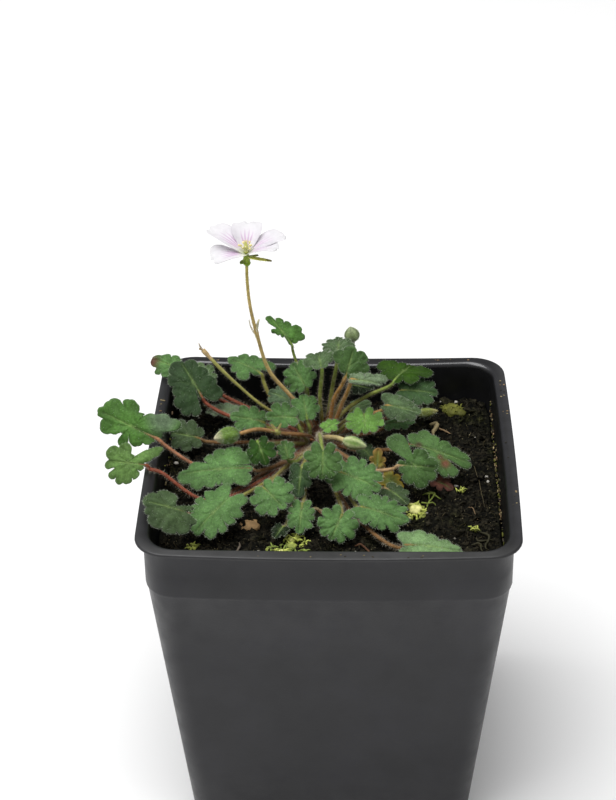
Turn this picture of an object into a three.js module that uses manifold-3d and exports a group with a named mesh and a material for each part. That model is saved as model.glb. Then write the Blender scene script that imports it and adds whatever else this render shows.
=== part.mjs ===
// A small erodium in flower, in a square plastic nursery pot filled with peat.
// Millimetres, +Z up. The origin is the centre of the pot's underside, and +Y is the back of the pot.
import * as THREE from 'three';
import { mergeVertices } from 'three/addons/utils/BufferGeometryUtils.js';
import Module from 'manifold-3d';

const wasm = await Module();
wasm.setup();

// Driving dimensions of the pot
const POT_HALF = 44.8;          // half of the square's outer width at the rim
const POT_HEIGHT = 90;
const RIM_THICK = 0.8;
const WALL = 1.6;
const STEP_HALF = 43;           // outer half width just under the rim
const STEP_Z = 76;              // above this the wall is nearly upright
const FOOT_HALF = 34.8;
const FLOOR_THICK = 1.8;
const CORNER_RADIUS = 8;
const LIP_ROUND = 1.3;          // radius of the lip's inner edge
const SIDE_BULGES = [0.45, -0.7, 0.3, 1.2];  // how far the middle of each side bows out, +X first
const DRAIN_RADIUS = 4;
const DRAIN_PLACES = [[20, 20], [-20, 20], [-20, -20], [20, -20]];

// Driving dimensions of the soil
const SOIL_LEVEL = 79.3;
const SOIL_BUMP = 0.6;
const SOIL_GAP = 0.35;          // between the soil and the pot's wall
const SOIL_CELLS = 9;

// Driving dimensions of the plant
const CROWN = [-3.5, 15.5];
const CROWN_RADIUS = 4.2;
const CROWN_LOW = 73;
const CROWN_TOP = 87;
const CROWN_HOLE = 4.7;         // radius of the plain hole in the soil
const PETIOLE_RADIUS = 0.5;
const PETIOLE_SIDES = 5;
const STALK_RADIUS = 0.6;
const BLADE_THICK = 0.6;
const JOINT_DROP = 0.85;        // a petiole ends this far under the middle of its blade
const PALM = 0.42;              // the palm's centre, as a share of a blade's length
const EAR = 0.14;               // how far the basal lobes reach behind the joint
const SINUS = 1.14;             // size of a lobe against one that just touches its neighbours

// One row for each leaf: where its blade joins the petiole, the way its midrib turns round +Z from +X,
// rises and rolls, its length from joint to tip and its width. A petiole that shows has points to pass.
const LEAVES = {
  leaf_01: { at: [-42.4, -1, 93.2], turn: 156, rise: 14, roll: -48, long: 17.2, wide: 12.2, palm: 0.45,
    arms: [[-173, 0.47, 0.09], [-152, 0.71, 0.1], [-148, 0.58, 0.14], [-143, 0.41, 0.14],
      [-118, 0.26, 0.12], [-51, 0.41, 0.16], [-17, 0.54, 0.16], [1, 0.59, 0.08], [23, 0.38, 0.13],
      [23, 0.49, 0.13], [85, 0.33, 0.08], [137, 0.31, 0.11], [166, 0.38, 0.08], [179, 0.43, 0.06]],
    pass: [[-31, -1.5, 85], [-16, 6, 83.6]] },
  leaf_02: { at: [-44.2, -11.6, 92.6], turn: 165, rise: -4, roll: -40, long: 11, wide: 10, palm: 0.45,
    arms: [[-176, 0.42, 0.18], [-152, 0.59, 0.14], [-149, 0.77, 0.12], [-149, 0.84, 0.07],
      [-66, 0.48, 0.16], [-26, 0.63, 0.17], [9, 0.37, 0.13], [9, 0.56, 0.12], [43, 0.54, 0.1],
      [63, 0.41, 0.12], [71, 0.53, 0.1], [97, 0.49, 0.12], [127, 0.42, 0.13], [179, 0.43, 0.06]],
    pass: [[-41, -12, 90.9], [-30, -14.4, 84.2], [-15, -1, 82.8]] },
  leaf_03: { at: [-33.3, 23.9, 89.8], turn: 127, rise: 30, roll: -18, long: 12, wide: 12.2, palm: 0.45,
    arms: [[-150, 0.71, 0.19], [-126, 0.51, 0.19], [-72, 0.42, 0.18], [-21, 0.54, 0.17], [18, 0.66, 0.21],
      [52, 0.56, 0.18], [95, 0.51, 0.19], [120, 0.68, 0.15], [140, 0.78, 0.15], [155, 0.78, 0.13],
      [179, 0.43, 0.06]],
    pass: [[-27, 20.2, 87], [-14, 17, 84.6]] },
  leaf_04: { at: [-38.4, 32.2, 92.8], turn: 153, rise: 5, roll: -28, long: 10.2, wide: 7, palm: 0.45,
    arms: [[-106, 0.32, 0.15], [-27, 0.37, 0.17], [3, 0.57, 0.18], [51, 0.45, 0.13], [91, 0.38, 0.15],
      [179, 0.43, 0.06]],
    pass: [[-36, 31.4, 90.6], [-27, 29.2, 86.4], [-14, 22, 84]] },
  leaf_05: { at: [-18.3, 30.5, 93.2], turn: 150, rise: 6, roll: -8, long: 10.5, wide: 9.6, palm: 0.45,
    arms: [[-141, 0.7, 0.19], [-129, 0.58, 0.2], [-83, 0.46, 0.21], [-37, 0.51, 0.21], [-3, 0.58, 0.19],
      [55, 0.44, 0.18], [104, 0.52, 0.16], [178, 0.37, 0.19], [179, 0.43, 0.06]],
    pass: [[-15.5, 26, 88]] },
  leaf_06: { at: [-10.3, 30, 102.2], turn: 132, rise: 24, roll: -14, long: 10.4, wide: 11.4, palm: 0.3,
    arms: [[-161, 0.47, 0.1], [-140, 0.58, 0.12], [-115, 0.5, 0.14], [-64, 0.34, 0.13], [-20, 0.42, 0.13],
      [3, 0.61, 0.09], [5, 0.49, 0.1], [48, 0.28, 0.06], [140, 0.18, 0.07], [179, 0.43, 0.06]],
    pass: [[-9.5, 29.4, 98], [-6.4, 24.5, 90.4]] },
  leaf_07: { at: [1.5, 22, 104.4], turn: 88, rise: 2, roll: 0, long: 7, wide: 8.6, lobes: 9,
    pass: [[0, 20, 95]] },
  leaf_08: { at: [-2.6, 17, 103.2], turn: 100, rise: 20, roll: -18, long: 5, wide: 8.4, lobes: 7, cup: 0.3,
    pass: [[-3, 17, 94]] },
  leaf_09: { at: [3.4, 14, 101.9], turn: 71, rise: 40, roll: 26, long: 8, wide: 10.2, palm: 0.45,
    arms: [[-127, 0.53, 0.28], [-82, 0.67, 0.21], [-41, 0.68, 0.25], [10, 0.63, 0.25], [63, 0.62, 0.24],
      [121, 0.36, 0.23], [179, 0.43, 0.06]],
    pass: [[0.5, 15, 95]] },
  leaf_10: { at: [5, 10.6, 103.8], turn: -5, rise: -10, roll: 40, long: 8.8, wide: 4.4, palm: 0.45,
    arms: [[18, 0.5, 0.18], [19, 0.59, 0.13], [47, 0.27, 0.18], [169, 0.36, 0.17], [180, 0.54, 0.14],
      [179, 0.43, 0.06]],
    pass: [[2.4, 13.4, 94]] },
  leaf_11: { at: [-6.6, 19.5, 95.9], turn: 120, rise: 26, roll: -37, long: 7.8, wide: 8.8, lobes: 9,
    pass: [[-6, 20.6, 90]] },
  leaf_12: { at: [-10.8, 22.4, 89.8], turn: 152, rise: 10, roll: -20, long: 6.5, wide: 6.4, lobes: 7,
    pass: [[-8.6, 20, 86.6]] },
  leaf_13: { at: [-6.2, 13, 90.8], turn: 102, rise: 28, roll: -4, long: 6.7, wide: 7.6, lobes: 7,
    pass: [[-5.6, 13, 88]] },
  leaf_14: { at: [-9, 12, 91.4], turn: 175, rise: -2, roll: -30, long: 7.6, wide: 7.5, lobes: 7, cup: 0.2,
    pass: [[-7.4, 10.8, 87.6]] },
  leaf_15: { at: [-17.3, 16, 87.6], turn: 172, rise: 5, roll: -26, long: 8.8, wide: 8.2, lobes: 7,
    pass: [[-12, 15.6, 84.4]] },
  leaf_16: { at: [-24.8, 25.1, 85.3], turn: 188, rise: 0, roll: 2, long: 8, wide: 6.4, lobes: 9,
    pass: [[-15, 20, 83.4]] },
  leaf_17: { at: [-33.6, 13.9, 84], turn: 171, rise: 5, roll: -30, long: 8, wide: 9, lobes: 7,
    pass: [[-20, 15.5, 81.8]] },
  leaf_18: { at: [-19.3, -4.6, 87.2], turn: 182, rise: -6, roll: -18, long: 18.6, wide: 10.6, palm: 0.5,
    arms: [[-153, 0.5, 0.12], [-122, 0.46, 0.13], [-92, 0.37, 0.12], [-62, 0.32, 0.11], [-12, 0.44, 0.1],
      [7, 0.58, 0.12], [32, 0.46, 0.1], [56, 0.33, 0.1], [84, 0.27, 0.1], [118, 0.31, 0.11],
      [149, 0.46, 0.12], [178, 0.44, 0.06]] },
  leaf_19: { at: [-18.1, 1.2, 91.5], turn: -66, rise: -33, roll: 16, long: 7, wide: 7.3, lobes: 7 },
  leaf_20: { at: [-10.5, -1.6, 88.2], turn: 108, rise: 36, roll: -10, long: 4.8, wide: 4.6, lobes: 7,
    pass: [[-8.6, 0, 86.2], [-6.4, 6, 84.6]] },
  leaf_21: { at: [-24.1, -17.6, 87.2], turn: -130, rise: -18, roll: -12, long: 13.4, wide: 11.8,
    lobes: 11, ear: 0.3, pass: [[-14, -4, 84.2]] },
  leaf_22: { at: [-33.9, -28, 90.4], turn: 178, rise: 15, roll: -22, long: 9.6, wide: 11.2, palm: 0.45,
    arms: [[-38, 0.48, 0.35], [-1, 0.63, 0.3], [27, 0.6, 0.34], [69, 0.68, 0.32], [109, 0.75, 0.27],
      [136, 0.82, 0.23], [171, 0.83, 0.26], [179, 0.43, 0.06]],
    pass: [[-35.6, -23.5, 86.4], [-33.6, -20, 84.2], [-22, -6, 82.8]] },
  leaf_23: { at: [-16, -15.3, 88.9], turn: -44, rise: -22, roll: 24, long: 8.2, wide: 11.4, lobes: 9,
    pass: [[-12, -3, 85.6]] },
  leaf_24: { at: [-7, -3.8, 87.8], turn: -95, rise: -30, roll: 6, long: 9.2, wide: 6, lobes: 7,
    pass: [[-6, 4, 86]] },
  leaf_25: { at: [-1.7, -9.1, 95], turn: -92, rise: -50, roll: -2, long: 6.8, wide: 9.6, lobes: 9, ear: 0.42,
    pass: [[-2.4, -2, 94], [-3, 7, 89.6]] },
  leaf_26: { at: [2, -8.7, 89.2], turn: -23, rise: -13, roll: 26, long: 11.6, wide: 11, lobes: 11, ear: 0.34,
    pass: [[0, 0, 87.4]] },
  leaf_27: { at: [7.4, -18.4, 85.6], turn: -20, rise: -9, roll: 22, long: 12.4, wide: 9.4,
    lobes: 11, ear: 0.2, pass: [[5, -11, 82.8], [1, 1, 82.6]] },
  leaf_28: { at: [13.5, -7.8, 83.8], turn: -42, rise: -12, roll: 14, long: 7.4, wide: 6, lobes: 7,
    pass: [[8, -1, 82.6]] },
  leaf_29: { at: [16.5, -4.9, 88.5], turn: 6, rise: -9, roll: 40, long: 9.8, wide: 12, palm: 0.6,
    arms: [[-157, 0.42, 0.15], [-112, 0.52, 0.2], [-68, 0.6, 0.2], [-26, 0.6, 0.19], [10, 0.6, 0.2],
      [62, 0.5, 0.24], [128, 1.02, 0.26], [172, 0.44, 0.08]],
    pass: [[10, -4, 86.4], [3, 5, 85]] },
  leaf_30: { at: [19.6, 6, 87.6], turn: -18, rise: -10, roll: 24, long: 16.2, wide: 10, palm: 0.45,
    arms: [[-100, 0.3, 0.12], [-61, 0.37, 0.1], [-49, 0.47, 0.09], [-34, 0.52, 0.09], [-4, 0.59, 0.09],
      [2, 0.55, 0.13], [13, 0.4, 0.12], [50, 0.26, 0.12], [128, 0.29, 0.12], [148, 0.46, 0.13],
      [164, 0.53, 0.12], [179, 0.43, 0.06]],
    pass: [[10, 8, 84.6]] },
  leaf_31: { at: [8.1, 11.5, 93], turn: -85, rise: -20, roll: 2, long: 6.6, wide: 10.2, lobes: 9, ear: 0.3,
    pass: [[5, 13, 90]] },
  leaf_32: { at: [13.7, 19, 91], turn: -12, rise: -10, roll: 22, long: 9.2, wide: 6.8, palm: 0.45,
    arms: [[-174, 0.58, 0.17], [-135, 0.51, 0.2], [-73, 0.42, 0.19], [-26, 0.53, 0.15], [3, 0.57, 0.17],
      [28, 0.42, 0.19], [101, 0.36, 0.2], [142, 0.52, 0.2], [152, 0.68, 0.18], [179, 0.43, 0.06]],
    pass: [[9, 18, 88.4]] },
  leaf_33: { at: [17.6, 28.6, 89.6], turn: -4, rise: -6, roll: 20, long: 9.6, wide: 9.6, lobes: 9,
    pass: [[10, 22, 84.2]] },
  leaf_34: { at: [16, 29.6, 92.2], turn: 46, rise: 12, roll: 10, long: 8.6, wide: 14, palm: 0.45,
    arms: [[-173, 0.6, 0.19], [-104, 0.63, 0.25], [-54, 0.87, 0.2], [-48, 0.64, 0.2], [-30, 0.4, 0.21],
      [82, 0.31, 0.2], [105, 0.62, 0.22], [112, 0.87, 0.21], [147, 0.75, 0.21], [179, 0.43, 0.06]],
    pass: [[9, 25, 90], [3, 20.5, 88]] },
  leaf_35: { at: [4.5, 25.5, 93], turn: -20, rise: -4, roll: 9, long: 6.4, wide: 5.6, lobes: 7,
    pass: [[1, 20, 88.6]] },
  leaf_36: { at: [4.7, 24.1, 86], turn: 34, rise: 2, roll: 8, long: 6.2, wide: 5.4, lobes: 7,
    pass: [[1.5, 20, 84]] },
  leaf_37: { at: [13.6, 20, 84.6], turn: 6, rise: -1, roll: 10, long: 7.6, wide: 5.8, lobes: 7,
    pass: [[6, 17.6, 82.6]] },
  leaf_38: { at: [-2, 10, 89], turn: 30, rise: 14, roll: 10, long: 4.6, wide: 4.6, lobes: 5,
    pass: [[-2.6, 11.6, 86.4]] },
  leaf_39: { at: [-10.9, -22.6, 82.8], turn: -118, rise: -14, roll: -8, long: 4.6, wide: 3.8, lobes: 5,
    pass: [[-9.6, -16, 81.4], [-7.5, -4, 81.8]] },
  leaf_40: { at: [-6.6, -17.7, 86], turn: -95, rise: -32, roll: -3, long: 8.2, wide: 6.6, lobes: 9,
    pass: [[-6.4, -12, 82.9], [-6, -2, 82.8]] },
  leaf_41: { at: [3, -22.4, 86], turn: -118, rise: -36, roll: -20, long: 7, wide: 10, lobes: 9, ear: 0.3,
    pass: [[2.6, -14, 82.8], [-0.6, 0, 82.6]] },
  leaf_42: { at: [17.6, -33, 85], turn: -12, rise: -2, roll: 12, long: 14.6, wide: 9.6, palm: 0.45,
    arms: [[-151, 0.52, 0.15], [-117, 0.43, 0.17], [-45, 0.43, 0.14], [-9, 0.58, 0.1], [-4, 0.52, 0.13],
      [11, 0.35, 0.15], [101, 0.27, 0.16], [145, 0.45, 0.16], [164, 0.6, 0.16], [179, 0.43, 0.06]],
    pass: [[13.5, -28, 81.8], [4, -12, 81.2], [0, 2, 82]] },
  leaf_43: { at: [-33.4, 31.6, 88.2], turn: 106, rise: 32, roll: -6, long: 7.4, wide: 7.6, lobes: 7,
    pass: [[-28, 30.6, 84.4], [-14, 22.5, 83]] },
  leaf_44: { at: [7.7, 8, 85.4], turn: -58, rise: -16, roll: 10, long: 5.4, wide: 4.6, lobes: 5,
    pass: [[3, 11, 83.4]] },
};

// Smaller pieces of the plant
const FLOWER_AT = [-20.1, 14, 137.4];
const PETALS = [
  { turn: 90, rise: 20, long: 9.4, wide: 7 },
  { turn: 160, rise: 22, long: 11, wide: 6.4 },
  { turn: 18, rise: 14, long: 10.6, wide: 6.4 },
  { turn: -34, rise: 20, long: 9.8, wide: 6 },
  { turn: 224, rise: 6, long: 10, wide: 6.4 },
];
const SEPAL_LONG = 5.2;
const SEPAL_WIDE = 1.9;
const STALK_POINTS = [[-4.8, 17.4, 84], [-7, 19.2, 89], [-10.9, 19.5, 93.8], [-15.7, 19, 100.9],
  [-18.6, 17, 113.3], [-19.9, 15.5, 121.8], [-20.3, 14, 130.6], [-20.1, 14, 136.75]];
const SPENT_POINTS = [[-5.4, 16.2, 84], [-11, 17.6, 86.8], [-17.8, 18, 91.4], [-23.3, 20, 95.5],
  [-28.4, 22, 99.9], [-32.7, 24, 104]];
const BUDS = {
  bud_left: { at: [-25.9, 4.1, 91], along: [-1, -0.25, -0.1], long: 6.6, thick: 4.2,
    stalk: [[-5, 14, 84.4], [-8, 9.6, 88], [-12, 8.2, 89.2], [-18.4, 5.6, 92], [-22.3, 5, 91.1]] },
  bud_right: { at: [5.7, 3.1, 90], along: [0.9, -0.35, -0.35], long: 6.6, thick: 3,
    stalk: [[-3.4, 13, 84.6], [-2.6, 7.6, 88.4], [2.1, 4.5, 90.8]] },
  bud_top: { at: [4.9, 30.6, 105], along: [-0.2, 0.1, 1], long: 4.2, thick: 3.8,
    stalk: [[-2.6, 16.5, 85], [2.4, 22, 95], [5, 29.2, 98.6], [5.2, 30.5, 102.4]] },
  bud_far_right: { at: [24.2, 22, 86.9], along: [1, 0.2, 0.05], long: 6, thick: 2.4,
    stalk: [[-1.6, 16, 83.4], [10, 18.8, 85.4], [17, 21, 86.8], [20.6, 21.4, 86.9]] },
};
const YELLOW_UP = { at: [11.4, -2.2, 85.2], turn: 84, rise: 64, roll: 4, long: 5.6, wide: 4.2, lobes: 5 };
const YELLOW_DOWN = { at: [12.6, -2.6, 84], turn: -36, rise: -18, roll: 24, long: 6.6, wide: 5.4, lobes: 5 };
const DEAD_LEAF = { at: [25.5, 0, 80.9], turn: -37, rise: -6, roll: 10, long: 5.8, wide: 5, lobes: 5 };

const radians = THREE.MathUtils.degToRad;
const vec = (p) => new THREE.Vector3(p[0], p[1], p[2]);

// The material of one kind of surface
function finish(colour, roughness) {
  return new THREE.MeshStandardMaterial({ color: colour, roughness, metalness: 0 });
}
const PLASTIC = finish(0x2b2b2e, 0.55);
const PEAT = finish(0x15110e, 0.95);
const GREEN = finish(0x4f7a44, 0.8);
const STEM = finish(0x8a6a45, 0.75);
const PETAL = finish(0xf3e6ee, 0.6);
const YELLOW = finish(0xa08a2c, 0.8);
const DEAD = finish(0x6a3326, 0.9);

// A closed geometry becomes a solid that can be cut and joined
function solid(geometry) {
  geometry.deleteAttribute('normal');
  geometry.deleteAttribute('uv');
  const merged = mergeVertices(geometry, 1e-4);
  const mesh = new wasm.Mesh({
    numProp: 3,
    vertProperties: new Float32Array(merged.attributes.position.array),
    triVerts: new Uint32Array(merged.index.array),
  });
  return new wasm.Manifold(mesh);
}

function geometryOf(body) {
  const mesh = body.getMesh();
  const geometry = new THREE.BufferGeometry();
  geometry.setAttribute('position', new THREE.BufferAttribute(new Float32Array(mesh.vertProperties), 3));
  geometry.setIndex(new THREE.BufferAttribute(new Uint32Array(mesh.triVerts), 1));
  return geometry;
}

function joined(bodies) {
  return bodies.reduce((whole, body) => whole.add(body));
}

function named(name, body, material) {
  const mesh = new THREE.Mesh(geometryOf(body), material);
  mesh.geometry.computeVertexNormals();
  mesh.name = name;
  return mesh;
}

// A geometry from points and triangles
function facets(points, triangles) {
  const geometry = new THREE.BufferGeometry();
  geometry.setAttribute('position', new THREE.BufferAttribute(new Float32Array(points.flat()), 3));
  geometry.setIndex(triangles.flat());
  return geometry;
}

// A rounded square at one height, counter-clockwise, whose sides bow out in the middle
const CORNER_STEPS = 4;
const SIDE_STEPS = 1;
function squareRing(half, radius, bowed, z) {
  const ring = [];
  for (let side = 0; side < 4; side += 1) {
    const turn = side * 90;
    const flat = half - radius;
    const place = (x, y) => {
      const c = Math.cos(radians(turn));
      const s = Math.sin(radians(turn));
      ring.push([x * c - y * s, x * s + y * c, z]);
    };
    for (let i = 1; i <= SIDE_STEPS; i += 1) {
      const y = flat * (2 * i / (SIDE_STEPS + 1) - 1);
      place(half + bowed * SIDE_BULGES[side] * (1 - (y / flat) ** 2), y);
    }
    for (let i = 0; i <= CORNER_STEPS; i += 1) {
      const angle = radians(90 * i / CORNER_STEPS);
      place(flat + radius * Math.cos(angle), flat + radius * Math.sin(angle));
    }
  }
  return ring;
}

// Rings joined in order into one closed skin, with a fan at each end
function lofted(rings) {
  const count = rings[0].length;
  const points = rings.flat();
  const triangles = [];
  for (let r = 0; r + 1 < rings.length; r += 1) {
    for (let i = 0; i < count; i += 1) {
      const a = r * count + i;
      const b = r * count + (i + 1) % count;
      triangles.push([a, b, b + count], [a, b + count, a + count]);
    }
  }
  const middle = (ring) => [0, 1, 2].map((k) => ring.reduce((sum, p) => sum + p[k], 0) / count);
  points.push(middle(rings[0]), middle(rings[rings.length - 1]));
  const low = points.length - 2;
  const high = points.length - 1;
  const last = (rings.length - 1) * count;
  for (let i = 0; i < count; i += 1) {
    const next = (i + 1) % count;
    triangles.push([low, next, i], [high, last + i, last + next]);
  }
  return facets(points, triangles);
}

// The outer half width of the pot's wall at a height
function wallHalf(z) {
  if (z >= STEP_Z) {
    return STEP_HALF;
  }
  return FOOT_HALF + (STEP_HALF - 0.4 - FOOT_HALF) * z / STEP_Z;
}

function potBody() {
  const under = POT_HEIGHT - RIM_THICK;
  const inner = STEP_HALF - WALL + 0.2;
  const outer = [
    [FOOT_HALF - 0.6, 0], [wallHalf(1.2), 1.2], [wallHalf(STEP_Z - 0.1), STEP_Z - 0.1],
    [STEP_HALF, STEP_Z + 1],
    [STEP_HALF, under], [POT_HALF - 0.2, under], [POT_HALF, under + 0.2], [POT_HALF, POT_HEIGHT - 0.3],
    [POT_HALF - 0.4, POT_HEIGHT], [inner + LIP_ROUND, POT_HEIGHT],
    [inner + 0.3 * LIP_ROUND, POT_HEIGHT - 0.3 * LIP_ROUND],
    [inner, POT_HEIGHT - LIP_ROUND], [inner - 0.2, STEP_Z + 1], [wallHalf(STEP_Z - 0.1) - WALL, STEP_Z - 0.1],
    [wallHalf(FLOOR_THICK) - WALL, FLOOR_THICK],
  ];
  const rings = outer.map(([half, z]) => {
    const share = (half - FOOT_HALF) / (POT_HALF - FOOT_HALF);
    const radius = CORNER_RADIUS - 2 * (1 - share) - (POT_HALF - half) * 0.1;
    return squareRing(half, radius, Math.max(share, 0), z);
  });
  let body = solid(lofted(rings));
  for (const [x, y] of DRAIN_PLACES) {
    const drill = new THREE.CylinderGeometry(DRAIN_RADIUS, DRAIN_RADIUS, 3 * FLOOR_THICK, 14);
    drill.rotateX(Math.PI / 2);
    drill.translate(x, y, FLOOR_THICK / 2);
    body = body.subtract(solid(drill));
  }
  return body;
}

// The height of the uneven soil at a place
function soilTop(x, y) {
  const wide = Math.sin(x * 0.19 + 0.6) * Math.cos(y * 0.16 - 0.9);
  const small = Math.sin(x * 0.51 - 1.3) * Math.sin(y * 0.47 + 0.4);
  return SOIL_LEVEL + SOIL_BUMP * (0.7 * wide + 0.5 * small);
}

// The soil's block up to its uneven top, cut to the inside of the pot, with a plain hole for the crown
function soilBody() {
  const reach = POT_HALF;
  const low = FLOOR_THICK + SOIL_GAP;
  const points = [];
  const triangles = [];
  const row = SOIL_CELLS + 1;
  for (let level = 0; level < 2; level += 1) {
    for (let j = 0; j < row; j += 1) {
      for (let i = 0; i < row; i += 1) {
        const x = reach * (2 * i / SOIL_CELLS - 1);
        const y = reach * (2 * j / SOIL_CELLS - 1);
        points.push([x, y, level ? soilTop(x, y) : -1]);
      }
    }
  }
  const at = (level, i, j) => level * row * row + j * row + i;
  for (let j = 0; j < SOIL_CELLS; j += 1) {
    for (let i = 0; i < SOIL_CELLS; i += 1) {
      triangles.push([at(1, i, j), at(1, i + 1, j), at(1, i + 1, j + 1)]);
      triangles.push([at(1, i, j), at(1, i + 1, j + 1), at(1, i, j + 1)]);
      triangles.push([at(0, i, j), at(0, i + 1, j + 1), at(0, i + 1, j)]);
      triangles.push([at(0, i, j), at(0, i, j + 1), at(0, i + 1, j + 1)]);
    }
  }
  const end = SOIL_CELLS;
  for (let i = 0; i < SOIL_CELLS; i += 1) {
    triangles.push([at(0, i, 0), at(0, i + 1, 0), at(1, i + 1, 0)]);
    triangles.push([at(0, i, 0), at(1, i + 1, 0), at(1, i, 0)]);
    triangles.push([at(0, i + 1, end), at(0, i, end), at(1, i, end)]);
    triangles.push([at(0, i + 1, end), at(1, i, end), at(1, i + 1, end)]);
    triangles.push([at(0, end, i), at(0, end, i + 1), at(1, end, i + 1)]);
    triangles.push([at(0, end, i), at(1, end, i + 1), at(1, end, i)]);
    triangles.push([at(0, 0, i + 1), at(0, 0, i), at(1, 0, i)]);
    triangles.push([at(0, 0, i + 1), at(1, 0, i), at(1, 0, i + 1)]);
  }
  const block = solid(facets(points, triangles));
  const inside = [[low, 0], [STEP_Z - 0.1, 0], [STEP_Z + 1, 0.2], [POT_HEIGHT, 0.2]].map(([z, extra]) => {
    const half = wallHalf(z) - WALL - SOIL_GAP - extra;
    const share = (half - FOOT_HALF) / (POT_HALF - FOOT_HALF);
    return squareRing(half, CORNER_RADIUS - 2 * (1 - share) - 0.6, Math.max(share, 0), z);
  });
  const drill = new THREE.CylinderGeometry(CROWN_HOLE, CROWN_HOLE, 40, 16);
  drill.rotateX(Math.PI / 2);
  drill.translate(CROWN[0], CROWN[1], CROWN_LOW - 1 + 20);
  return block.intersect(solid(lofted(inside))).subtract(solid(drill));
}

// A tube along points, of a regular section
function tube(points, radius, sides, steps) {
  const section = new THREE.Shape();
  for (let i = 0; i < sides; i += 1) {
    const angle = 2 * Math.PI * i / sides;
    const x = radius * Math.cos(angle);
    const y = radius * Math.sin(angle);
    if (i === 0) {
      section.moveTo(x, y);
    } else {
      section.lineTo(x, y);
    }
  }
  section.closePath();
  const path = new THREE.CatmullRomCurve3(points.map(vec), false, 'centripetal');
  return solid(new THREE.ExtrudeGeometry(section, { steps, extrudePath: path, bevelEnabled: false }));
}

// A blade's own directions: along its midrib, to its left and up from its upper face
function bladeFrame(leaf) {
  const turn = radians(leaf.turn);
  const rise = radians(leaf.rise);
  const roll = radians(leaf.roll ?? 0);
  const run = Math.cos(rise);
  const along = new THREE.Vector3(Math.cos(turn) * run, Math.sin(turn) * run, Math.sin(rise));
  const level = new THREE.Vector3(0, 0, 1).cross(along).normalize();
  const steep = along.clone().cross(level);
  const left = level.multiplyScalar(Math.cos(roll)).addScaledVector(steep, Math.sin(roll));
  const up = along.clone().cross(left);
  return { along, left, up };
}

// How far a full oval reaches at an angle, from its half length and half width
const FULLNESS = 2.4;
function oval(angle, long, wide) {
  const sum = (Math.abs(Math.cos(angle)) / long) ** FULLNESS + (Math.abs(Math.sin(angle)) / wide) ** FULLNESS;
  return sum ** (-1 / FULLNESS);
}

// The lobes round a blade's palm: the angle from the tip, how far each reaches and how big it is
function bladeLobes(leaf) {
  if (leaf.arms) {
    const { long } = leaf;
    return leaf.arms.map(([angle, far, size]) => (
      { angle: radians(angle), far: far * long, size: size * long }));
  }
  const count = leaf.lobes;
  const touch = Math.sin(Math.PI / count);
  const lobes = [];
  for (let i = 0; i < count; i += 1) {
    const angle = 2 * Math.PI * (i - (count - 1) / 2) / count * 0.985;
    const ahead = Math.cos(angle) > 0 ? (1 - PALM) * leaf.long : (PALM + (leaf.ear ?? EAR)) * leaf.long;
    const far = oval(angle, ahead, leaf.wide / 2);
    lobes.push({ angle, far, size: SINUS * far * touch / (1 + touch) });
  }
  return lobes;
}

// How far a blade's edge lies from the middle of its palm, at an angle from the tip
function bladeReach(leaf, lobes, angle) {
  const ahead = Math.cos(angle) > 0 ? (1 - PALM) * leaf.long : PALM * leaf.long;
  let reach = (leaf.palm ?? 0.7) * oval(angle, ahead, leaf.wide / 2);
  for (const lobe of lobes) {
    const off = angle - lobe.angle;
    const centre = lobe.far - lobe.size;
    const inside = lobe.size ** 2 - (centre * Math.sin(off)) ** 2;
    if (Math.cos(off) > 0 && inside > 0) {
      reach = Math.max(reach, centre * Math.cos(off) + Math.sqrt(inside));
    }
  }
  const notch = Math.exp(-(((Math.PI - Math.abs(angle)) / 0.16) ** 2));
  return reach * (1 - notch) + Math.min(reach, (PALM + 0.02) * leaf.long) * notch;
}

// How high the middle of the blade lies over the plane through its joint and tip
function bladeHeight(leaf, s, t) {
  const share = Math.max(s / leaf.long, -0.05);
  const arch = 4 * (leaf.arch ?? 0.05) * share * (1 - share) * leaf.long;
  const half = leaf.wide / 2;
  const cup = (leaf.cup ?? -0.1) * half * Math.min((t / half) ** 2, 2);
  return arch + cup;
}

// Places of a blade's outline points between one lobe and the next, as shares of the gap
const LOBE_STEPS = [0.22, 0.5, 0.78];
const ARM_STEPS = [0.1, 0.3, 0.5, 0.7, 0.9];
const INNER = 0.62;             // where the inner ring of points lies, one point to a lobe

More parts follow.
